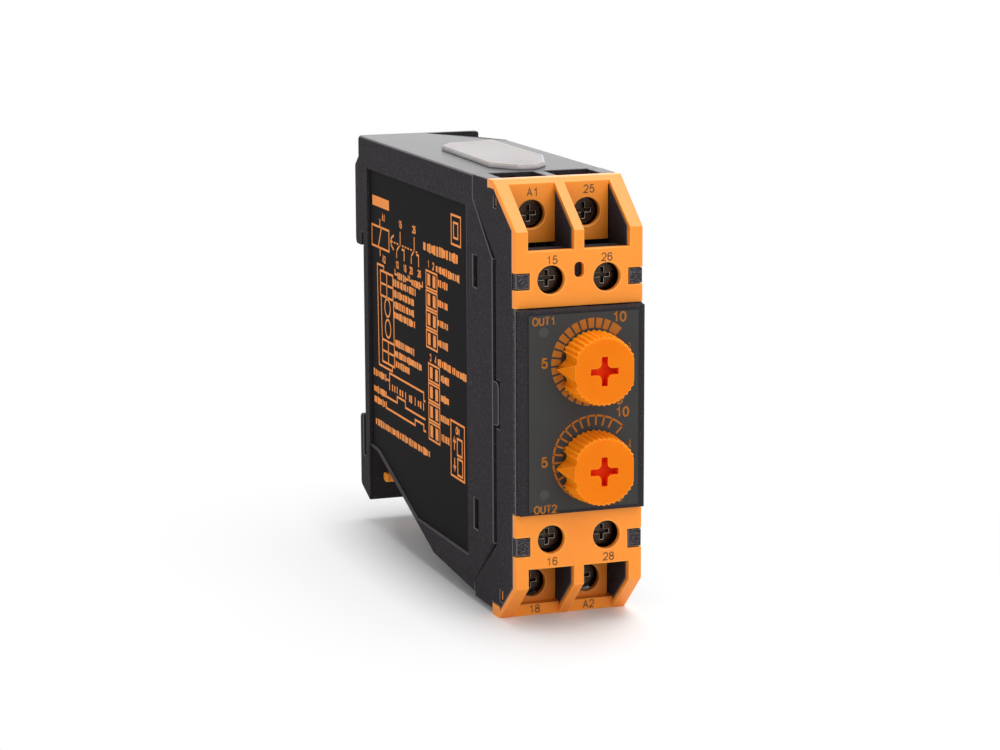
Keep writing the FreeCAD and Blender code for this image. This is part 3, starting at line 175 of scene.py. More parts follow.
class RelayColours(bpy.types.PropertyGroup):
    """Colours of the relay's finishes"""
    black: colour("Black moulding", "Housing and hood", "#2F2C2F")
    black_pale: colour("Black moulding, pale", "Paler patches of the housing and hood", "#343134")
    black_smooth: colour("Black moulding, smooth", "Side recess of the housing", "#1B191A")
    # Painted highlight: the pale colour of the edges, the ledge and the glints of the housing and hood
    black_highlight: colour("Black moulding, edge", "Rubbed edges of the housing and hood", "#6D696C")
    orange: colour("Orange moulding", "Terminal covers and rail slider", "#FF9222")
    orange_pale: colour("Orange moulding, pale", "Paler patches of the covers", "#FF9A2A")
    # Painted highlight: the pale colour of the covers' edges and hole rims
    orange_highlight: colour("Orange moulding, edge", "Rubbed edges of the covers", "#FDA848")
    knob: colour("Knob", "Setting knobs", "#EC7D06")
    knob_pale: colour("Knob, pale", "Paler patches of the knobs", "#F2850C")
    # Painted shade: the deep red of the knobs' cross recess
    knob_recess_shade: colour("Knob, deep", "Cross recess of the knobs", "#F03A00")
    foil: colour("Foil", "Front label", "#2C2D2C")
    milky: colour("Milky cover", "Cover over the switches", "#C6C1C1")
    # Painted highlight: the pale colour of that cover's sides and edges
    milky_highlight: colour("Milky cover, edge", "Sides of that cover, where light gathers", "#F2F0EE")
    dial_ink: colour("Dial ink", "Print on the front label", "#AC681E")
    side_ink: colour("Diagram ink", "Print on the left side", "#FF983E")
    figure_ink: colour("Figure ink", "Numbers on the orange covers", "#75543A")


def sizes():
    """The sizes in use."""
    return bpy.context.scene.relay_sizes


def colours():
    """The colours in use."""
    return bpy.context.scene.relay_colours


# Materials

def add_node(tree, kind, inputs=None, **settings):
    """Adds a node with its settings; an input is linked if it is a node or socket, and otherwise set."""
    made = tree.nodes.new(kind)
    for name, value in settings.items():
        setattr(made, name, value)
    for name, value in (inputs or {}).items():
        if isinstance(value, bpy.types.Node):
            value = next(socket for socket in value.outputs if socket.enabled)
        if isinstance(value, bpy.types.NodeSocket):
            tree.links.new(value, made.inputs[name])
        else:
            made.inputs[name].default_value = value
    return made


def new_surface(name):
    """A new material and its empty node tree."""
    material = bpy.data.materials.new(name)
    material.use_nodes = True
    material.node_tree.nodes.clear()
    return material, material.node_tree


def end_surface(tree, **inputs):
    """Ends a material's tree in one Principled surface with these inputs."""
    named = {name.replace("_", " "): value for name, value in inputs.items()}
    shader = add_node(tree, "ShaderNodeBsdfPrincipled", named)
    add_node(tree, "ShaderNodeOutputMaterial", {"Surface": shader})


def speckled(name, dark, pale, patch, grain, depth, rough, marks=None, **inputs):
    """A material with two shades in soft patches, and a fine grain in its gloss and its normal.

    patch and grain are widths and depth is the grain's height, in millimetres; rough is (least, most);
    marks gives the colour of the faces that an attribute marks. The real grain of these finishes is
    finer, and is drawn as coarse as it needs to show.
    """
    material, tree = new_surface(name)
    place = add_node(tree, "ShaderNodeTexCoord").outputs["Object"]
    cloud = add_node(tree, "ShaderNodeTexNoise", {"Vector": place, "Scale": 1 / (patch * MM),
                                                  "Detail": 3.0})
    shade = add_node(tree, "ShaderNodeMix", {0: cloud, 6: dark, 7: pale}, data_type="RGBA")
    for attribute, marked in (marks or {}).items():
        share = add_node(tree, "ShaderNodeAttribute", attribute_name=attribute).outputs["Fac"]
        shade = add_node(tree, "ShaderNodeMix", {0: share, 6: shade, 7: marked}, data_type="RGBA")
    fine = add_node(tree, "ShaderNodeTexNoise", {"Vector": place, "Scale": 1 / (grain * MM)})
    gloss = add_node(tree, "ShaderNodeMapRange", {"Value": fine, "From Min": 0.3, "From Max": 0.7,
                                                  "To Min": rough[0], "To Max": rough[1]})
    bump = add_node(tree, "ShaderNodeBump", {"Height": fine, "Distance": depth * MM})
    end_surface(tree, Base_Color=shade, Roughness=gloss, Normal=bump, **inputs)
    return material


def black_polyamide():
    """Glass-filled polyamide from a spark-eroded tool: near black, a dull grain with pale glints.

    The side recess came from smoother steel, so it is darker and plain; the top is rubbed to a sheen;
    the pale glints, stronger on the latch lugs, whose grain is also stronger, are a painted highlight;
    edges and the ledge under the recess are painted pale, a painted highlight. The real grain is finer,
    and is drawn as coarse as it needs to show.
    """
    material, tree = new_surface("Polyamide_black_grained")
    place = add_node(tree, "ShaderNodeTexCoord").outputs["Object"]
    apart = add_node(tree, "ShaderNodeSeparateXYZ", {"Vector": place}).outputs
    zones = (("X", RECESS_FLOOR_X * MM, RECESS_REACH), ("Z", TOP_Z, TOP_REACH),
             ("Y", COVER_FACE_Y + LUG_DEPTH * MM, LUG_REACH))
    recess, top, lugs = [add_node(tree, "ShaderNodeMath", {0: apart[axis], 1: middle, 2: reach * MM},
                                  operation="COMPARE") for axis, middle, reach in zones]
    plain = add_node(tree, "ShaderNodeMath", {0: recess, 1: top}, operation="MAXIMUM")

    cloud = add_node(tree, "ShaderNodeTexNoise", {"Vector": place, "Scale": 1 / (9 * MM), "Detail": 3.0})
    shade = add_node(tree, "ShaderNodeMix", {0: cloud, 6: colours().black, 7: colours().black_pale},
                     data_type="RGBA")
    shade = add_node(tree, "ShaderNodeMix", {0: recess, 6: shade, 7: colours().black_smooth},
                     data_type="RGBA")
    grit = add_node(tree, "ShaderNodeMapRange", {"Value": lugs, "To Min": 1 / (0.3 * MM),
                                                 "To Max": 1 / (0.25 * MM)})
    fine = add_node(tree, "ShaderNodeTexNoise", {"Vector": place, "Scale": grit})
    # Pale glints in the grain, stronger and coarser on the lugs, are a painted highlight mixed into the
    # colour
    least = add_node(tree, "ShaderNodeMapRange", {"Value": lugs, "To Min": 0.54, "To Max": 0.47})
    most = add_node(tree, "ShaderNodeMapRange", {"Value": lugs, "To Min": 0.3, "To Max": 1.0})
    glint = add_node(tree, "ShaderNodeMapRange", {"Value": fine, "From Min": least, "From Max": 0.74,
                                                  "To Max": most})
    shown = add_node(tree, "ShaderNodeMath", {0: glint, 1: plain}, operation="SUBTRACT", use_clamp=True)
    # Rounded edges and the ledge take the same pale colour: a painted highlight
    painted_highlight = add_node(tree, "ShaderNodeAttribute", attribute_name=EDGE_HIGHLIGHT).outputs["Fac"]
    pale = add_node(tree, "ShaderNodeMath", {0: shown, 1: painted_highlight}, operation="MAXIMUM")
    coat = add_node(tree, "ShaderNodeMix", {0: pale, 6: shade, 7: colours().black_highlight},
                    data_type="RGBA")
    gloss = add_node(tree, "ShaderNodeMapRange", {"Value": top, "To Min": 0.8, "To Max": 0.36})
    relief = add_node(tree, "ShaderNodeMapRange", {"Value": plain, "To Min": 1.0, "To Max": 0.12})
    bump = add_node(tree, "ShaderNodeBump", {"Height": fine, "Strength": relief, "Distance": 0.04 * MM})
    end_surface(tree, Base_Color=coat, Roughness=gloss, Normal=bump, Specular_IOR_Level=0.05, IOR=1.53)
    return material


def orange_polyamide():
    """Moulded polyamide: a strong orange, silky, with faint flow patches and paler edges."""
    # Its paler edges and hole rims are a painted highlight
    return speckled("Polyamide_orange_moulded", colours().orange, colours().orange_pale, patch=7,
                    grain=0.35, depth=0.006, rough=(0.38, 0.5), marks={EDGE_HIGHLIGHT: colours().orange_highlight},
                    Specular_IOR_Level=0.4, IOR=1.53, Subsurface_Weight=0.1,
                    Subsurface_Scale=0.6 * MM)


def orange_abs():
    """Moulded ABS: a warm orange, soft in its grooves, red where light comes only through it."""
    # Its paler edges are a painted highlight, and the deep red of its cross recess is a painted shade
    return speckled("ABS_orange_knob", colours().knob, colours().knob_pale, patch=4, grain=0.3,
                    depth=0.004, rough=(0.4, 0.5),
                    marks={EDGE_HIGHLIGHT: colours().orange, SUNK: colours().knob_recess_shade},
                    Specular_IOR_Level=0.08, IOR=1.54, Subsurface_Weight=0.7,
                    Subsurface_Scale=1.0 * MM, Subsurface_Radius=(1.0, 0.45, 0.1))


def matt_foil():
    """Printed polycarbonate foil with a fine matt emboss: dark grey, an even soft sheen."""
    return speckled("Polycarbonate_foil_matt", shaded(colours().foil, 0.93), shaded(colours().foil, 1.07),
                    patch=5, grain=0.22, depth=0.006, rough=(0.5, 0.64), Specular_IOR_Level=0.3, IOR=1.58)


def milky_polypropylene():
    """Unfilled polypropylene: cloudy white; light spreads inside it and gathers at its sides."""
    # Its paler sides and edges are a painted highlight where light gathers
    return speckled("Polypropylene_milky", shaded(colours().milky, 0.94), colours().milky, patch=5,
                    grain=0.4, depth=0.008, rough=(0.55, 0.7), marks={EDGE_HIGHLIGHT: colours().milky_highlight},
                    Specular_IOR_Level=0.06, IOR=1.49, Transmission_Weight=0.35,
                    Subsurface_Weight=0.5, Subsurface_Scale=1.2 * MM)


def plain_plastic(name, code, rough):
    """An inner moulding: its colour a little uneven, its gloss broken by a fine grain."""
    base = linear(code)
    return speckled(name, shaded(base, 0.88), base, patch=4, grain=0.3, depth=0.006,
                    rough=(rough - 0.06, rough + 0.08))


def plated_metal(name, code, rough, grain):
    """Plated or rolled metal: dull bloom from the plating barrel, and bright edges as a painted highlight.
    """
    base = linear(code)
    return speckled(name, shaded(base, 0.7), base, patch=1.3, grain=grain, depth=0.006,
                    rough=(rough - 0.1, rough + 0.12), marks={EDGE_HIGHLIGHT: linear("#A8A197")}, Metallic=1.0)


def ink(name, shade):
    """Screen-printed ink: a flat coat whose density wavers slightly."""
    return speckled(name, shaded(shade, 0.9), shade, patch=1.5, grain=0.2, depth=0.002,
                    rough=(0.5, 0.62), Specular_IOR_Level=0.2)


def board_laminate():
    """Glass-epoxy laminate under green solder mask: copper tracks show through as paler lines."""
    material, tree = new_surface("Glass_epoxy_green")
    place = add_node(tree, "ShaderNodeTexCoord").outputs["Object"]
    apart = add_node(tree, "ShaderNodeSeparateXYZ", {"Vector": place}).outputs
    flat = add_node(tree, "ShaderNodeCombineXYZ", {"X": apart["Y"], "Y": apart["Z"], "Z": apart["X"]})
    tracks = add_node(tree, "ShaderNodeTexBrick",
                      {"Vector": flat, "Color1": linear("#14532B"), "Color2": linear("#175A30"),
                       "Mortar": linear("#2E7A45"), "Scale": 1.0, "Mortar Size": 0.3 * MM,
                       "Mortar Smooth": 0.2, "Brick Width": 5.08 * MM, "Row Height": 2.54 * MM})
    bump = add_node(tree, "ShaderNodeBump", {"Height": tracks.outputs["Fac"], "Strength": 0.6,
                                             "Distance": 0.03 * MM})
    end_surface(tree, Base_Color=tracks, Normal=bump, Specular_IOR_Level=0.5, Roughness=0.32)
    return material


# Pieces

def placed(name, mesh, body, material):
    """A finished piece at the origin that rides on a body."""
    mesh.name = name
    mesh.materials.clear()
    mesh.materials.append(material)
    piece = bpy.data.objects.new(name, mesh)
    bpy.context.scene.collection.objects.link(piece)
    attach(piece, body)
    return piece


def modified(mesh, kind, inputs=None, **settings):
    """The plain mesh that one modifier makes of a mesh; inputs are those of its node tree, by name."""
    thing = bpy.data.objects.new("work", mesh)
    bpy.context.scene.collection.objects.link(thing)
    modifier = thing.modifiers.new(kind, kind)
    for name, value in settings.items():
        setattr(modifier, name, value)
    for item in modifier.node_group.interface.items_tree if inputs else ():
        if item.in_out == "INPUT" and item.name in inputs:
            modifier[item.identifier] = inputs[item.name]
    depsgraph = bpy.context.evaluated_depsgraph_get()
    made = bpy.data.meshes.new_from_object(thing.evaluated_get(depsgraph), depsgraph=depsgraph)
    thing.modifiers.remove(modifier)
    bpy.data.objects.remove(thing)
    return made


def astray(mesh, skin, width):
    """Corners of the triangles that leave the skin by more than the rounding may, or face against it."""
    mesh.calc_loop_triangles()
    corners = []
    for triangle in mesh.loop_triangles:
        a, b, c = (mesh.vertices[i].co for i in triangle.vertices)
        facing = (b - a).cross(c - a)
        if facing.length < SLIVER:
            continue
        for u, v in LATTICE:
            _, normal, _, away = skin.find_nearest(a + (b - a) * u + (c - a) * v)
            turned = away < CLOSE * width and facing.normalized().dot(normal) < AGAINST
            if away > STRAY * width or turned:
                corners += [a, b, c]
                break
    return corners


def rounded(work, skin, width):
    """The mesh with its weighted edges rounded; where that would leave the skin, the width gives way.

    The faces of the rounding are in the second of two empty material slots.
    """
    weight = work.edges.layers.float["bevel_weight_edge"]
    spots = KDTree(len(work.verts))
    for vertex in work.verts:
        spots.insert(vertex.co, vertex.index)
    spots.balance()
    work.verts.ensure_lookup_table()
    for _ in range(TRIES):
        mesh = bpy.data.meshes.new("plain")
        work.to_mesh(mesh)
        if "custom_normal" in mesh.attributes:
            mesh.attributes.remove(mesh.attributes["custom_normal"])
        for _ in range(2):
            mesh.materials.append(None)
        mesh.polygons.foreach_set("material_index", [0] * len(mesh.polygons))
        made = modified(mesh, "BEVEL", width=width, segments=2, limit_method="WEIGHT", material=1,
                        use_clamp_overlap=False, loop_slide=False)
        wrong = astray(made, skin, width)
        if not wrong:
            break
        near = {index for corner in wrong
                for _, index, _ in spots.find_range(corner, GIVE_REACH * width)}
        for line in {line for index in near for line in work.verts[index].link_edges}:
            line[weight] *= GIVE_SHARE
    return made


def is_rim(line):
    """True for an edge round a terminal screw's hole."""
    return any(all((vertex.co - middle).xz.length < RIM_REACH * radius for vertex in line.verts)
               for middle, radius in SCREWS)


def dressed(node, body, material, edge, rim=0.0):
    """Stands for a node: its copy, doubles merged, flat faces joined and outer edges rounded.

    edge is the width of the rounding; rim, where given, is that of the edges round the screw holes.
    """
    work = bmesh.new()
    work.from_mesh(frame["nodes"][node].data)
    skin = BVHTree.FromBMesh(work)
    bmesh.ops.remove_doubles(work, verts=work.verts, dist=WELD)
    bmesh.ops.dissolve_limit(work, angle_limit=FLAT, use_dissolve_boundaries=False, verts=work.verts,
                             edges=work.edges)
    width = max(edge, rim)
    weight = work.edges.layers.float.new("bevel_weight_edge")
    for line in work.edges:
        if line.calc_face_angle(0.0) > SHARP and line.is_convex:
            line[weight] = (rim if rim and is_rim(line) else edge) / width
    mesh = rounded(work, skin, width)
    work.clear()
    work.from_mesh(mesh)
    bmesh.ops.dissolve_degenerate(work, dist=0.1 * WELD, edges=work.edges)
    work.to_mesh(mesh)
    work.free()
    # The rounded faces are marked for a paler colour in the materials: a painted highlight
    painted_highlight = mesh.attributes.new(EDGE_HIGHLIGHT, "FLOAT", "FACE")
    painted_highlight.data.foreach_set("value", [float(face.material_index) for face in mesh.polygons])
    mesh.polygons.foreach_set("material_index", [0] * len(mesh.polygons))
    mesh.shade_smooth()
    mesh.set_sharp_from_angle(angle=CREASE)
    finished = modified(mesh, "WEIGHTED_NORMAL", weight=100, keep_sharp=True)
    piece = placed(node + "_finished", finished, body, material)
    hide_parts(node)
    return piece


def mark(piece, name, chosen):
    """Sets a face attribute to 1 on the faces that a test chooses."""
    marks = piece.data.attributes.get(name) or piece.data.attributes.new(name, "FLOAT", "FACE")
    for face in piece.data.polygons:
        if chosen(face):
            marks.data[face.index].value = 1.0


def finish_nodes(names, material):
    """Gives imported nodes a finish."""
    for name in names:
        mesh = frame["nodes"][name].data
        mesh.materials.clear()
        mesh.materials.append(material)


# Print

MEETING = 1e-6               # millimetres between the ends of a line that closes
LEAST_MITRE = 0.5            # keeps the mitre of a sharp corner short
DIGIT_SPAN = 0.6             # width of every digit, as a share of its height


def plane(right, up, origin):
    """Millimetres in a print's own plane to metres in the part's frame."""
    right, up = Vector(right), Vector(up)
    axes = Matrix((right, up, right.cross(up))).transposed().to_4x4()
    return Matrix.Translation(origin) @ axes @ Matrix.Scale(MM, 4)


def front_plane(depth):
    """The plane of the front at a depth; its origin is mid front."""
    return plane((1, 0, 0), (0, 0, 1), (0.0, COVER_FACE_Y + depth * MM, MID_Z))


def side_plane():
    """The floor of the left recess, drawn on as (-depth, height)."""
    return plane((0, -1, 0), (0, 0, 1), (RECESS_FLOOR_X * MM, COVER_FACE_Y, MID_Z))


def bow(centre, across, up, start, end, steps=14):
    """Points on an oval's arc, by clockwise angles from its top."""
    angles = [start + (end - start) * i / steps for i in range(steps + 1)]
    return [(centre[0] + across * math.sin(a), centre[1] + up * math.cos(a)) for a in angles]


def loop(centre, across, up, steps=28):
    """Points round a whole oval."""
    return bow(centre, across, up, 0.0, 2 * math.pi, steps)


def box_points(left, top, right, bottom):
    """Corners of a rectangle."""
    return [(left, top), (right, top), (right, bottom), (left, bottom)]


def walls(work, rings, closed):
    """Joins two rings of bottom and top vertices with top, bottom and side faces."""
    (left_low, left_high), (right_low, right_high) = rings
    count = len(left_low)
    for i in range(count if closed else count - 1):
        j = (i + 1) % count
        work.faces.new((left_high[i], left_high[j], right_high[j], right_high[i]))
        work.faces.new((left_low[j], left_low[i], right_low[i], right_low[j]))
        work.faces.new((left_low[i], left_low[j], left_high[j], left_high[i]))
        work.faces.new((right_low[j], right_low[i], right_high[i], right_high[j]))
    if not closed:
        for i in (0, count - 1):
            work.faces.new((left_low[i], left_high[i], right_high[i], right_low[i]))


def strip(work, points, width):
    """Adds a printed line of one width along points, with mitred corners; it closes if its ends meet."""
    points = [Vector(p) for p in points]
    closed = (points[0] - points[-1]).length < MEETING
    points = points[:-1] if closed else points
    count = len(points)
    thick = sizes().ink / MM
    sides = ([[], []], [[], []])
    for i, point in enumerate(points):
        runs = []
        if closed or i > 0:
            runs.append((point - points[i - 1]).normalized())
        if closed or i < count - 1:
            runs.append((points[(i + 1) % count] - point).normalized())
        mitre = sum((Vector((-run.y, run.x)) for run in runs), Vector((0, 0)))
        mitre = mitre * (2 / max(mitre.length_squared, LEAST_MITRE)) if len(runs) == 2 else mitre
        for side, sign in zip(sides, (0.5, -0.5)):
            spot = point + mitre * width * sign
            side[0].append(work.verts.new((spot.x, spot.y, 0.0)))
            side[1].append(work.verts.new((spot.x, spot.y, thick)))
    walls(work, sides, closed)


def field(work, points):
    """Adds a printed field with this outline."""
    thick = sizes().ink / MM
    low = [work.verts.new((x, y, 0.0)) for x, y in points]
    high = [work.verts.new((x, y, thick)) for x, y in points]
    work.faces.new(high)
    work.faces.new(low[::-1])
    for i in range(len(points)):
        j = (i + 1) % len(points)
        work.faces.new((low[i], low[j], high[j], high[i]))


# Strokes of the printed signs: each sign is one unit tall, with its left at 0
QUARTER = math.pi / 2
SIGNS = {
    "0": [loop((0.3, 0.5), 0.3, 0.5)],
    "1": [[(0.1, 0.76), (0.3, 0.83), (0.38, 1.0), (0.38, 0.0)]],
    "2": [bow((0.3, 0.7), 0.29, 0.3, -0.9 * QUARTER, 1.35 * QUARTER) + [(0.0, 0.0), (0.6, 0.0)]],
    "3": [bow((0.28, 0.76), 0.25, 0.24, -0.85 * QUARTER, 2 * QUARTER),
          bow((0.28, 0.26), 0.29, 0.26, 0.0, 2.85 * QUARTER)],
    "4": [[(0.45, 0.0), (0.45, 1.0), (0.0, 0.28), (0.62, 0.28)]],
    "5": [[(0.55, 1.0), (0.13, 1.0)] + bow((0.29, 0.32), 0.3, 0.32, -0.6 * QUARTER, 2.8 * QUARTER)],
    "6": [bow((0.31, 0.66), 0.3, 0.34, 0.7 * QUARTER, -QUARTER, 8)
          + bow((0.3, 0.31), 0.29, 0.31, -QUARTER, 3 * QUARTER)],
    "8": [loop((0.3, 0.76), 0.25, 0.24), loop((0.3, 0.26), 0.3, 0.26)],
    "A": [[(0.0, 0.0), (0.33, 1.0), (0.66, 0.0)], [(0.11, 0.32), (0.55, 0.32)]],
    "N": [[(0.0, 0.0), (0.0, 1.0), (0.58, 0.0), (0.58, 1.0)]],
    "O": [loop((0.36, 0.5), 0.36, 0.5)],
    "T": [[(0.0, 1.0), (0.6, 1.0)], [(0.3, 1.0), (0.3, 0.0)]],
    "U": [[(0.0, 1.0)] + bow((0.29, 0.29), 0.29, 0.29, 3 * QUARTER, QUARTER) + [(0.58, 1.0)]],
    "t": [[(0.17, 1.0)] + bow((0.35, 0.18), 0.18, 0.18, 3 * QUARTER, 2 * QUARTER, 4),
          [(0.0, 0.7), (0.36, 0.7)]],
}


def sign_span(sign):
    """Width of a sign, as a share of its height."""
    return DIGIT_SPAN if sign.isdigit() else max(x for points in SIGNS[sign] for x, _ in points)


def lettering(work, text, tall, spot, stroke, space=0.24):
    """Adds a word or number round a spot; its height, spot and stroke width are millimetres."""
    scale = tall - stroke
    spans = [sign_span(sign) for sign in text]
    x = spot[0] - scale * (sum(spans) + space * (len(text) - 1)) / 2
    y = spot[1] - scale / 2
    for sign, span in zip(text, spans):
        for points in SIGNS[sign]:
            strip(work, [(x + scale * px, y + scale * py) for px, py in points], stroke)
        x += scale * (span + space)


def drawn(draw, place):
    """The mesh of what a drawing function adds, put in its place."""
    work = bmesh.new()
    draw(work)
    bmesh.ops.recalc_face_normals(work, faces=work.faces)
    work.transform(place)
    mesh = bpy.data.meshes.new("print")
    work.to_mesh(mesh)
    work.free()
    return mesh


def joined(meshes):
    """Several meshes as one."""
    work = bmesh.new()
    for mesh in meshes:
        work.from_mesh(mesh)
    whole = bpy.data.meshes.new("print")
    work.to_mesh(whole)
    work.free()
    return whole


# Repeats

def repeat_tree(name, sockets):
    """An empty node tree with a geometry input, these named inputs and a geometry output."""
    tree = bpy.data.node_groups.new(name, "GeometryNodeTree")
    face = tree.interface
    face.new_socket("Geometry", in_out="INPUT", socket_type="NodeSocketGeometry")
    for label, kind in sockets:
        face.new_socket(label, in_out="INPUT", socket_type="NodeSocket" + kind)
    face.new_socket("Geometry", in_out="OUTPUT", socket_type="NodeSocketGeometry")
    return tree, add_node(tree, "NodeGroupInput").outputs


def end_tree(tree, instances, material):
    """Ends a tree: the instances made real, with their material."""
    real = add_node(tree, "GeometryNodeRealizeInstances", {"Geometry": instances})
    inked = add_node(tree, "GeometryNodeSetMaterial", {"Geometry": real, "Material": material})
    add_node(tree, "NodeGroupOutput", {"Geometry": inked})
    return tree


def scale_tree():
    """Turns a cell round a centre in even steps, for the dials' scales."""
    tree, given = repeat_tree("Scale_cells", (("Count", "Int"), ("Start", "Float"), ("Step", "Float"),
                                              ("Centre", "Vector"), ("Material", "Material")))
    spots = add_node(tree, "GeometryNodeMeshLine", {"Count": given["Count"], "Offset": (0.0, 0.0, 0.0),
                                                    "Start Location": given["Centre"]})
    index = add_node(tree, "GeometryNodeInputIndex")
    turned = add_node(tree, "ShaderNodeMath", {0: index, 1: given["Step"], 2: given["Start"]},
                      operation="MULTIPLY_ADD")
    turn = add_node(tree, "FunctionNodeAxisAngleToRotation", {"Axis": (0.0, 1.0, 0.0), "Angle": turned})
    cells = add_node(tree, "GeometryNodeInstanceOnPoints", {"Points": spots, "Rotation": turn,
                                                            "Instance": given["Geometry"]})
    return end_tree(tree, cells, given["Material"])


def row_tree():
    """Repeats a cell along a row, for dashes and switch symbols."""
    tree, given = repeat_tree("Row_of_cells", (("Count", "Int"), ("Step", "Vector"),
                                               ("Material", "Material")))
    spots = add_node(tree, "GeometryNodeMeshLine", {"Count": given["Count"], "Offset": given["Step"]})
    cells = add_node(tree, "GeometryNodeInstanceOnPoints", {"Points": spots,
                                                            "Instance": given["Geometry"]})
    return end_tree(tree, cells, given["Material"])


def word_tree():
    """Sets small blocks of uneven size along lines, as stand-ins for lines of words."""
    tree, given = repeat_tree("Word_blocks", (("Pitch", "Float"), ("Block", "Vector"),
                                              ("Least", "Vector"), ("Most", "Vector"), ("Shift", "Vector"),
                                              ("Seed", "Int"), ("Material", "Material")))
    line = add_node(tree, "GeometryNodeMeshToCurve", {"Mesh": given["Geometry"]})
    spots = add_node(tree, "GeometryNodeResampleCurve", {"Curve": line, "Length": given["Pitch"]},
                     mode="LENGTH")
    back = add_node(tree, "ShaderNodeVectorMath", {0: given["Shift"], "Scale": -1.0}, operation="SCALE")
    shift, uneven = [add_node(tree, "FunctionNodeRandomValue", {0: least, 1: most, "Seed": given["Seed"]},
                              data_type="FLOAT_VECTOR")
                     for least, most in ((back, given["Shift"]), (given["Least"], given["Most"]))]
    loose = add_node(tree, "GeometryNodeSetPosition", {"Geometry": spots, "Offset": shift})
    block = add_node(tree, "GeometryNodeMeshCube", {"Size": given["Block"]})
    cells = add_node(tree, "GeometryNodeInstanceOnPoints", {"Points": loose, "Instance": block,
                                                            "Scale": uneven})
    return end_tree(tree, cells, given["Material"])


def grown(mesh, tree, **inputs):
    """The plain mesh that a tree makes of a mesh with these inputs."""
    return modified(mesh, "NODES", inputs, node_group=tree)


# Operators

class RELAY_OT_mouldings(bpy.types.Operator):
    """Finishes the black housing and hood"""
    bl_idname = "relay.mouldings"
    bl_label = "Black mouldings"
    ledge_x = (RECESS_FLOOR_X - 0.02) * MM   # the ledge under the side recess lies outside this
    ledge_slope = 0.3                        # and faces up by this much

    def is_ledge(self, face):
        """True for the faces under the side recess, which catch the light."""
        return face.center.x < self.ledge_x and face.normal.z > self.ledge_slope

    def execute(self, context):
        black = black_polyamide()
        for node in ("rear_housing", "front_hood"):
            piece = dressed(node, "housing", black, sizes().edge)
            # The ledge under the recess is painted pale: a painted highlight
            mark(piece, EDGE_HIGHLIGHT, self.is_ledge)
        return {"FINISHED"}


class RELAY_OT_covers(bpy.types.Operator):
    """Finishes the orange terminal covers and the rail slider"""
    bl_idname = "relay.covers"
    bl_label = "Terminal covers and slider"

    def execute(self, context):
        orange = orange_polyamide()
        for node in ("upper_terminal_cover", "lower_terminal_cover"):
            dressed(node, "housing", orange, sizes().edge, sizes().rim)
        dressed("rail_slider", "rail_slider", orange, sizes().edge)
        return {"FINISHED"}


class RELAY_OT_knobs(bpy.types.Operator):
    """Finishes the two setting knobs"""
    bl_idname = "relay.knobs"
    bl_label = "Setting knobs"
    cross_reach = 2.6 * MM       # how far the cross recess reaches from the axis
    cross_depth = 0.25 * MM      # where it counts as deep

    def execute(self, context):
        orange = orange_abs()
        for node in ("knob_1", "knob_2"):
            low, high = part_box(node)
            hinge = next(j for j in frame["record"]["behaviour"]["joints"] if j["child"] == node)
            axis = Vector(hinge["pos_m"])
            piece = dressed(node, node, orange, sizes().fine_edge)
            # The cross recess is marked for a deep red: a painted shade
            mark(piece, SUNK, lambda face: (face.center - axis).xz.length < self.cross_reach
                 and self.cross_depth < face.center.y - low.y < (high.y - low.y) / 2)
        return {"FINISHED"}


class RELAY_OT_lid(bpy.types.Operator):
    """Finishes the milky cover on the top"""
    bl_idname = "relay.lid"
    bl_label = "Milky cover"
    side_slope = 0.7             # faces that face up less than this are its sides

    def execute(self, context):
        milky = milky_polypropylene()
        piece = dressed("top_cover", "top_cover", milky, sizes().fine_edge)
        # The sides are marked for a paler colour: a painted highlight where light gathers
        mark(piece, EDGE_HIGHLIGHT, lambda face: face.normal.z < self.side_slope)
        return {"FINISHED"}


class RELAY_OT_foil(bpy.types.Operator):
    """Finishes the front label and its two lamp windows"""
    bl_idname = "relay.foil"
    bl_label = "Front label"
    lamps = ((-6.8, 13.05), (-6.7, -13.1))      # across and height, millimetres

    def draw_windows(self, work):
        """A round window over each lamp."""
        radius = sizes().lamp / MM / 2
        for spot in self.lamps:
            field(work, loop(spot, radius, radius)[:-1])

    def execute(self, context):
        finish_nodes(["front_label"], matt_foil())
        # Unprinted foil: a grey a little paler than the print round it
        window = plain_plastic("Polycarbonate_window", "#373433", 0.35)
        placed("lamp_windows", drawn(self.draw_windows, front_plane(LABEL_DEPTH)), "housing", window)
        # Clear acrylic: pale and glossy
        finish_nodes(["indicator_1", "indicator_2"], plain_plastic("Acrylic_clear", "#E4E6E2", 0.2))
        return {"FINISHED"}


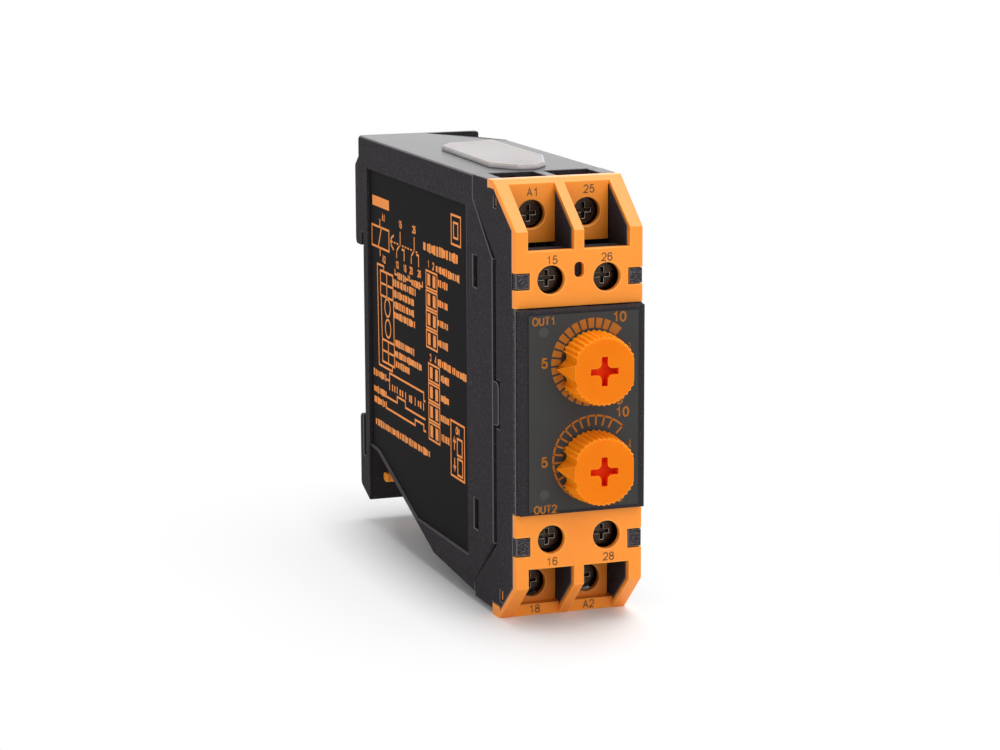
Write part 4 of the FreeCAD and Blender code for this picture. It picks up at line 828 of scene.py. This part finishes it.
class RELAY_OT_dials(bpy.types.Operator):
    """Prints the two scales and their figures on the front label"""
    bl_idname = "relay.dials"
    bl_label = "Dials"
    # Across and height of centres, numbers and captions, millimetres
    centres = ((1.55, 7.84), (1.72, -7.75))
    numbers = (("5", -6.66, 8.13), ("10", 6.02, 14.86), ("0", 6.05, 1.5),
               ("5", -6.69, -7.81), ("10", 6.55, -0.55), ("0", 6.1, -14.4))
    captions = (("OUT1", -6.74, 14.84), ("OUT2", -6.53, -15.46), ("t", 7.75, 10.0), ("t", 7.85, -5.75))
    number_stroke = 0.3
    caption_stroke = 0.24
    end_angle = 0.02             # radians; the outlined scale's last side, with hardly any rim

    def draw_filled(self, work, start, end, centre):
        """A filled cell of a scale between two angles."""
        outer, inner = sizes().dial_radius / MM, (sizes().dial_radius - sizes().dial_band) / MM
        gap = sizes().dial_gap / (2 * sizes().dial_radius - sizes().dial_band)
        rim = bow(centre, outer, outer, start + gap, end - gap, 4)
        field(work, rim + bow(centre, inner, inner, end - gap, start + gap, 4))

    def draw_outlined(self, work, start, end, centre):
        """An outlined cell of a scale: its first side and its outer rim."""
        width = sizes().dial_line / MM
        outer = sizes().dial_radius / MM - width / 2
        inner = outer - sizes().dial_band / MM
        foot = bow(centre, inner, inner, start, start, 1)[:1]
        strip(work, foot + bow(centre, outer, outer, start, end, 4), width)

    def draw_words(self, work):
        """The numbers of the scales and the captions."""
        for text, x, height in self.numbers:
            lettering(work, text, sizes().dial_figure / MM, (x, height), self.number_stroke)
        for text, x, height in self.captions:
            lettering(work, text, sizes().caption / MM, (x, height), self.caption_stroke)

    def execute(self, context):
        printed = ink("Screen_ink_dial", colours().dial_ink)
        place, cell_place = front_plane(LABEL_DEPTH), plane((1, 0, 0), (0, 0, 1), (0.0, 0.0, 0.0))
        start, step = sizes().dial_start, sizes().dial_step
        last = start + sizes().dial_steps * step
        end = last + sizes().dial_last
        tree = scale_tree()
        for number, draw in enumerate((self.draw_filled, self.draw_outlined), 1):
            centre = self.centres[number - 1]
            cell = drawn(lambda work: draw(work, 0.0, step, (0.0, 0.0)), cell_place)
            spot = place @ Vector((*centre, 0.0))
            meshes = [grown(cell, tree, Count=sizes().dial_steps, Start=start, Step=step, Centre=spot,
                            Material=printed),
                      drawn(lambda work: draw(work, last, end, centre), place)]
            if draw == self.draw_outlined:
                meshes.append(drawn(lambda work: draw(work, end, end + self.end_angle, centre), place))
            placed("dial_scale_%d" % number, joined(meshes), "housing", printed)
        placed("dial_figures", drawn(self.draw_words, place), "housing", printed)
        return {"FINISHED"}


class RELAY_OT_figures(bpy.types.Operator):
    """Prints the terminal numbers on the orange covers"""
    bl_idname = "relay.figures"
    bl_label = "Terminal numbers"
    # Text, across, height and depth, millimetres
    figures = (("A1", -4.55, 33.89, POCKET_DEPTH), ("25", 5.11, 34.0, POCKET_DEPTH),
               ("15", -4.63, 24.19, 0.0), ("26", 4.66, 24.24, 0.0),
               ("16", -4.68, -24.6, 0.0), ("28", 5.06, -24.55, 0.0),
               ("18", -4.95, -34.24, LOWER_LIP_DEPTH), ("A2", 4.5, -34.29, LOWER_LIP_DEPTH))
    stroke = 0.19

    def execute(self, context):
        printed = ink("Pad_ink_brown", colours().figure_ink)
        words = [drawn(lambda work: lettering(work, text, sizes().terminal_figure / MM, (x, height),
                                              self.stroke), front_plane(depth))
                 for text, x, height, depth in self.figures]
        placed("terminal_figures", joined(words), "housing", printed)
        return {"FINISHED"}


class RELAY_OT_diagram(bpy.types.Operator):
    """Prints the wiring diagram and switch table on the left side"""
    bl_idname = "relay.diagram"
    bl_label = "Side diagram"
    # Points are depth and height in millimetres; fields and frames are left, top, right and bottom;
    # titles and words are left, right and height; legends share left and right
    fields = ((75.5, 25.9, 65.7, 24.1),)
    frames = ((76.0, 20.5, 65.9, 16.8), (71.2, 12.75, 63.9, 8.3), (70.4, 0.4, 63.4, -3.65),
              (31.5, 27.8, 26.7, 22.9), (30.3, 26.6, 28.1, 24.05),
              (32.4, -7.2, 25.4, -16.6), (29.1, -9.8, 26.6, -12.6), (28.9, -13.2, 26.4, -16.0))
    lines = (((71.2, 22.0), (71.2, 20.5)), ((71.2, 16.8), (71.2, 15.3)), ((70.3, 20.5), (72.3, 16.8)),
             ((59.4, 21.2), (59.4, 19.0), (61.4, 17.6)), ((61.5, 17.4), (61.5, 16.3)),
             ((58.5, 18.2), (57.2, 18.2), (57.2, 16.3)),
             ((51.45, 21.3), (51.45, 19.0), (53.1, 17.8)), ((53.2, 17.6), (53.2, 16.4)),
             ((50.3, 18.4), (49.1, 18.4), (49.1, 16.4)),
             ((63.1, 20.1), (64.4, 19.5), (64.9, 18.8), (64.4, 18.1), (63.2, 17.5)),
             ((62.6, 14.2), (62.6, 13.3), (61.2, 13.3)), ((56.4, 13.3), (55.0, 13.3), (55.0, 14.2)),
             ((54.2, 14.2), (54.2, 13.3), (52.8, 13.3)), ((48.5, 13.3), (47.1, 13.3), (47.1, 14.2)),
             ((69.2, 12.9), (69.2, 13.7), (73.0, 13.7), (72.5, -4.6), (64.7, -4.6), (64.7, -3.8)),
             ((67.5, 12.6), (67.5, 8.4)), ((71.1, 10.5), (64.0, 10.5)),
             ((63.6, 8.2), (63.5, 0.5)), ((70.9, 8.2), (70.5, 0.5)),
             ((66.9, 0.3), (66.9, -3.55)), ((70.3, -1.6), (63.5, -1.6)),
             ((68.3, -6.6), (66.4, -6.6), (66.4, -5.2), (46.9, -5.2), (46.9, -6.6), (46.1, -6.6)),
             ((66.45, -6.9), (66.45, -8.3)), ((62.0, -6.9), (62.0, -8.2)), ((57.15, -7.0), (57.15, -8.3)),
             ((51.75, -6.9), (51.75, -8.4)), ((47.05, -7.0), (47.05, -8.4)),
             ((68.4, -9.8), (62.05, -9.8), (62.05, -8.7), (57.3, -8.7), (57.3, -9.8), (46.1, -9.8)),
             ((68.5, -11.9), (51.85, -11.9), (51.85, -10.9), (47.0, -10.9), (47.0, -11.9), (45.8, -11.9)),
             ((30.6, -12.0), (30.6, -9.9)), ((31.2, -10.7), (30.6, -9.9), (30.0, -10.7)),
             ((30.5, -13.4), (30.5, -15.5)), ((31.1, -14.7), (30.5, -15.5), (29.9, -14.7)))
    rounds = ((67.2, 6.5, 1.6), (67.0, 2.75, 1.6))
    figures = (("A1", 69.0, 22.4), ("A2", 69.0, 15.0), ("15", 59.3, 22.5), ("25", 51.5, 22.6),
               ("18", 61.3, 15.1), ("16", 56.9, 15.1), ("28", 53.3, 15.2), ("26", 48.8, 15.3),
               ("1", 43.7, 17.7), ("2", 41.1, 17.7), ("3", 43.0, 1.6), ("4", 40.3, 1.6),
               ("ON", 28.9, -8.5))
    titles = ((45.6, 38.9, 20.5), (37.6, 28.7, 20.6))
    words = ((39.1, 34.2, 17.5), (33.2, 27.8, 17.4), (38.6, 34.6, 1.5), (33.6, 30.2, 1.4),
             (29.2, 24.5, 1.3), (63.4, 57.6, 11.65), (56.6, 51.4, 11.65), (63.4, 58.8, 9.7),
             (57.8, 52.3, 9.7), (63.2, 58.6, 7.75), (57.6, 52.3, 7.75), (62.9, 60.2, 5.9),
             (59.2, 51.9, 5.9), (62.5, 57.3, 0.95), (56.3, 52.5, 0.95), (62.6, 56.0, -1.05),
             (55.0, 48.3, -1.05), (62.3, 55.1, -2.85), (75.4, 68.9, -6.45), (75.2, 68.7, -9.5),
             (75.2, 68.7, -11.45), (74.7, 70.6, -15.5), (69.6, 63.5, -15.5), (62.5, 56.4, -15.5),
             (55.4, 51.3, -15.5), (50.3, 44.2, -15.5), (64.9, 63.6, -7.6), (60.2, 58.9, -7.65),
             (55.1, 53.8, -7.7), (50.0, 48.7, -7.7), (61.0, 56.7, 13.2), (52.6, 48.7, 13.2))
    legends = (((38.4, 34.0), (15.2, 11.75, 8.35, 4.9)), ((37.3, 33.6), (-1.0, -4.4, -7.85, -11.2)))
    figure_stroke = 0.3
    # Columns of switch symbols, and the dashes between two contacts
    switch_tops = ((45.1, 16.5), (44.15, 0.5))
    switch_count = 4
    switch_pitch = 3.42
    switch_line = 0.34
    switch_frame = (0.0, 0.0, 5.9, -2.95)
    switch_levers = ((0.75, -0.45, 2.2, -2.5), (3.6, -0.45, 5.05, -2.5))
    dash = ((64.6, 18.85), (63.7, 18.85))
    dash_count = 10
    dash_pitch = 1.55
    dash_line = 0.3
    # Blocks that stand for words: pitch and height, then shares of the pitch and of a block's sizes
    title_block = (1.22, 1.6)
    word_block = (0.9, 1.25)
    block_share = 0.98
    block_shift = 0.22
    block_least = (1.0, 0.58, 0.78)
    block_most = (1.0, 1.06, 1.1)
    seed = 4

    def draw_lines(self, work):
        """Fields, frames, lines, rounds and figures of the diagram."""
        thick = sizes().line / MM
        for left, top, right, bottom in self.fields:
            field(work, box_points(-left, top, -right, bottom))
        for left, top, right, bottom in self.frames:
            corners = box_points(-left, top, -right, bottom)
            strip(work, corners + corners[:1], thick)
        for line in self.lines:
            strip(work, [(-d, h) for d, h in line], thick)
        for d, h, radius in self.rounds:
            strip(work, loop((-d, h), radius, radius), thick)
        for text, d, h in self.figures:
            lettering(work, text, sizes().side_figure / MM, (-d, h), self.figure_stroke)

    def draw_switch(self, work):
        """One two-way switch symbol: a frame with two levers."""
        corners = box_points(*self.switch_frame)
        strip(work, corners + corners[:1], self.switch_line)
        for lever in self.switch_levers:
            field(work, box_points(*lever))

    def word_lines(self, runs):
        """Edges along lines of words, in their place."""
        points = [(-d, h, sizes().ink / MM / 2) for left, right, h in runs for d in (left, right)]
        mesh = bpy.data.meshes.new("word_lines")
        mesh.from_pydata(points, [(i, i + 1) for i in range(0, len(points), 2)], [])
        mesh.transform(side_plane())
        return mesh

    def execute(self, context):
        printed = ink("Screen_ink_side", colours().side_ink)
        place = side_plane()
        row, blocks = row_tree(), word_tree()
        meshes = [drawn(self.draw_lines, place)]
        for left, top in self.switch_tops:
            cell = drawn(self.draw_switch, place @ Matrix.Translation((-left, top, 0.0)))
            meshes.append(grown(cell, row, Count=self.switch_count, Material=printed,
                                Step=(0.0, 0.0, -self.switch_pitch * MM)))
        points = [(-d, h) for d, h in self.dash]
        dash = drawn(lambda work: strip(work, points, self.dash_line), place)
        meshes.append(grown(dash, row, Count=self.dash_count, Step=(0.0, -self.dash_pitch * MM, 0.0),
                            Material=printed))
        small = [(*run, h) for run, heights in self.legends for h in heights]
        for runs, (pitch, tall) in ((self.titles, self.title_block),
                                    (self.words + tuple(small), self.word_block)):
            block = (sizes().ink, self.block_share * pitch * MM, tall * MM)
            meshes.append(grown(self.word_lines(runs), blocks, Pitch=pitch * MM, Block=block,
                                Least=self.block_least, Most=self.block_most, Seed=self.seed,
                                Shift=(0.0, self.block_shift * pitch * MM, 0.0), Material=printed))
        placed("side_diagram", joined(meshes), "housing", printed)
        return {"FINISHED"}


class RELAY_OT_metals(bpy.types.Operator):
    """Finishes the screws, clamps, contact bars and spring"""
    bl_idname = "relay.metals"
    bl_label = "Metal pieces"
    clamps = tuple("terminal_clamp_%d" % i for i in TERMINALS)
    # Material, colour, roughness, grain and nodes; the comments say what each gives the eye
    # The clamps and tinned copper are darker than bare metal: a painted shade of the closed chamber
    metals = (("Steel_clamp_plated", "#6A655D", 0.4, 0.3, clamps),                   # dull warm grey
              ("Copper_tinned", "#7C766B", 0.36, 0.4, ("contact_bars",)),            # soft blurred glints
              ("Steel_spring_tempered", "#8D8F94", 0.3, 0.3, ("slider_spring",)))    # cold bright grey

    def execute(self, context):
        # Passivated steel, darkened to brown-black as a painted shade of the deep holes,
        # with bright edges as a painted highlight
        steel = plated_metal("Steel_screw_painted_shade", "#41372F", 0.24, 0.25)
        for i in TERMINALS:
            node = "terminal_screw_%d" % i
            dressed(node, node, steel, sizes().fine_edge)
        for name, code, rough, grain, nodes in self.metals:
            finish_nodes(nodes, plated_metal(name, code, rough, grain))
        return {"FINISHED"}


class RELAY_OT_electronics(bpy.types.Operator):
    """Finishes the boards and what is mounted on them"""
    bl_idname = "relay.electronics"
    bl_label = "Boards and components"
    levers = tuple("switch_lever_%d" % i for i in range(1, 5))
    # Material, colour, roughness and nodes; the comments say what each gives the eye
    plastics = (("PBT_black_relay", "#1B1B1D", 0.4, ("relay_1", "relay_2")),             # satin black
                ("Epoxy_moulded_chip", "#1F1F20", 0.6, ("controller_chip",)),            # dull black
                ("Ferrite_sintered", "#3A3938", 0.7, ("transformer",)),                  # chalky grey
                ("PET_sleeve_dark", "#1E2430", 0.35, ("capacitor_1", "capacitor_2")),    # shiny blue-black
                ("Epoxy_blue_dipped", "#22559B", 0.35, ("varistor",)),                   # glossy blue
                ("PBT_blue_trimmer", "#2C6FB4", 0.4, ("pot_body_1", "pot_body_2")),      # satin blue
                ("PBT_red_switch", "#B3242A", 0.4, ("switch_bank",)),                    # satin red
                ("POM_white", "#E6E3DC", 0.4, levers + ("pot_rotor_1", "pot_rotor_2")))  # waxy white

    def execute(self, context):
        finish_nodes(["main_board", "front_board"], board_laminate())
        for name, code, rough, nodes in self.plastics:
            finish_nodes(nodes, plain_plastic(name, code, rough))
        return {"FINISHED"}


class RELAY_OT_studio(bpy.types.Operator):
    """Sets the floor, the light and the camera"""
    bl_idname = "relay.studio"
    bl_label = "Studio"
    camera_place = (-169.24, -516.27, 93.38)    # millimetres
    camera_forward = (0.3302, 0.9254, -0.1860)
    camera_up = (0.0664, 0.1738, 0.9825)
    lens, sensor = 108.0, 36.0                  # millimetres
    # Name, place and size in metres, power in watts
    lamps = (("key_light", (0.35, -0.95, 0.65), 0.8, 4.5), ("top_light", (0.24, 0.0, 0.97), 0.8, 7.8),
             ("side_light", (-0.95, -0.45, 0.25), 0.6, 1.9), ("horizon_light", (0.42, 1.1, 0.3), 0.9, 4.6))
    soft_light = 0.4             # strength of the world's light on the part
    floor_size = 12.0            # metres
    # How white the floor is to the eye, by its distance from the part's middle in half sizes of the part
    fade_start, fade_middle, fade_end = 1.0, 2.2, 9.0
    middle_white = 0.72

    def sharp_rays(self, tree):
        """1 for what the eye, metal and glass see; 0 for what only lights the part."""
        path = add_node(tree, "ShaderNodeLightPath").outputs
        sharp = add_node(tree, "ShaderNodeMath", {0: path["Is Camera Ray"], 1: path["Is Glossy Ray"]},
                         operation="ADD")
        return add_node(tree, "ShaderNodeMath", {0: sharp, 1: path["Is Transmission Ray"]},
                        operation="ADD", use_clamp=True)

    def paper(self):
        """White paper: a matt floor that keeps the shadow by the part and is pure white further off."""
        material, tree = new_surface("Paper_white_floor")
        place = add_node(tree, "ShaderNodeTexCoord").outputs["Object"]
        size, middle = CAD_BOX[1] - CAD_BOX[0], (CAD_BOX[0] + CAD_BOX[1]) / 2
        off = add_node(tree, "ShaderNodeVectorMath", {0: place, 1: (middle.x, middle.y, 0.0)},
                       operation="SUBTRACT")
        spread = add_node(tree, "ShaderNodeVectorMath", {0: off, 1: (2 / size.x, 2 / size.y, 0.0)},
                          operation="MULTIPLY")
        away = add_node(tree, "ShaderNodeVectorMath", {0: spread}, operation="LENGTH")
        near = add_node(tree, "ShaderNodeMapRange", {"Value": away, "From Min": self.fade_start,
                                                     "From Max": self.fade_middle,
                                                     "To Max": self.middle_white})
        white = add_node(tree, "ShaderNodeMapRange", {"Value": away, "From Min": self.fade_middle,
                                                      "From Max": self.fade_end, "To Min": near})
        seen = add_node(tree, "ShaderNodeMath", {0: self.sharp_rays(tree), 1: white}, operation="MULTIPLY")
        matt = add_node(tree, "ShaderNodeBsdfPrincipled", {"Base Color": linear("#F2F2F2"),
                                                           "Roughness": 0.9, "Specular IOR Level": 0.1})
        glow = add_node(tree, "ShaderNodeEmission", {"Color": linear("#FFFFFF"), "Strength": 1.0})
        mixed = add_node(tree, "ShaderNodeMixShader", {0: seen, 1: matt, 2: glow})
        add_node(tree, "ShaderNodeOutputMaterial", {"Surface": mixed})
        return material

    def add_floor(self):
        """A wide pale floor under the lowest point."""
        bpy.ops.mesh.primitive_plane_add(size=self.floor_size, location=(0.0, 0.0, CAD_BOX[0].z))
        floor = bpy.context.object
        floor.name = "studio_floor"
        floor.data.materials.append(self.paper())

    def add_world(self):
        """White to the eye, to metal and to glass; an even soft light on everything else."""
        world = bpy.data.worlds.new("Studio_white")
        bpy.context.scene.world = world
        world.use_nodes = True
        tree = world.node_tree
        tree.nodes.clear()
        level = add_node(tree, "ShaderNodeMapRange", {"Value": self.sharp_rays(tree),
                                                      "To Min": self.soft_light})
        sky = add_node(tree, "ShaderNodeBackground", {"Color": linear("#FFFFFF"), "Strength": level})
        add_node(tree, "ShaderNodeOutputWorld", {"Surface": sky})

    def add_lamps(self):
        """Square soft boxes that face the middle of the part."""
        middle = (CAD_BOX[0] + CAD_BOX[1]) / 2
        for name, place, size, power in self.lamps:
            light = bpy.data.lights.new(name, "AREA")
            light.shape, light.size, light.energy = "SQUARE", size, power
            lamp = bpy.data.objects.new(name, light)
            lamp.location = place
            lamp.rotation_euler = (middle - Vector(place)).to_track_quat("-Z", "Y").to_euler()
            lamp.visible_camera = False
            bpy.context.scene.collection.objects.link(lamp)

    def add_camera(self):
        """A long lens, from the left of the front and a little above."""
        data = bpy.data.cameras.new("camera")
        data.lens, data.sensor_width = self.lens, self.sensor
        data.clip_start, data.clip_end = 0.01, 50.0
        forward = Vector(self.camera_forward).normalized()
        right = forward.cross(Vector(self.camera_up)).normalized()
        axes = Matrix((right, right.cross(forward), -forward)).transposed().to_4x4()
        camera = bpy.data.objects.new("camera", data)
        camera.matrix_world = Matrix.Translation(Vector(self.camera_place) * MM) @ axes
        bpy.context.scene.collection.objects.link(camera)
        bpy.context.scene.camera = camera

    def execute(self, context):
        self.add_floor()
        self.add_world()
        self.add_lamps()
        self.add_camera()
        context.scene.view_settings.view_transform = "Standard"
        return {"FINISHED"}


PIECES = (RELAY_OT_mouldings, RELAY_OT_covers, RELAY_OT_knobs, RELAY_OT_lid, RELAY_OT_foil,
          RELAY_OT_dials, RELAY_OT_figures, RELAY_OT_diagram, RELAY_OT_metals, RELAY_OT_electronics,
          RELAY_OT_studio)


class RELAY_PT_panel(bpy.types.Panel):
    """Lists the steps that finish the relay"""
    bl_label = "Timer relay"
    bl_idname = "RELAY_PT_panel"
    bl_space_type = "VIEW_3D"
    bl_region_type = "UI"
    bl_category = "Relay"

    def draw(self, context):
        for piece in PIECES:
            self.layout.operator(piece.bl_idname)
        for group in (context.scene.relay_sizes, context.scene.relay_colours):
            for name in group.bl_rna.properties.keys():
                if name not in ("rna_type", "name"):
                    self.layout.prop(group, name)


CLASSES = (RelaySizes, RelayColours, *PIECES, RELAY_PT_panel)


def register():
    """Registers the classes and puts the sizes and colours on the scene."""
    for item in CLASSES:
        bpy.utils.register_class(item)
    bpy.types.Scene.relay_sizes = bpy.props.PointerProperty(type=RelaySizes)
    bpy.types.Scene.relay_colours = bpy.props.PointerProperty(type=RelayColours)


def unregister():
    """Takes them off again."""
    del bpy.types.Scene.relay_colours
    del bpy.types.Scene.relay_sizes
    for item in reversed(CLASSES):
        bpy.utils.unregister_class(item)


def main():
    """Runs every step in order."""
    register()
    for piece in PIECES:
        group, name = piece.bl_idname.split(".")
        getattr(getattr(bpy.ops, group), name)()


if __name__ == "__main__":
    main()
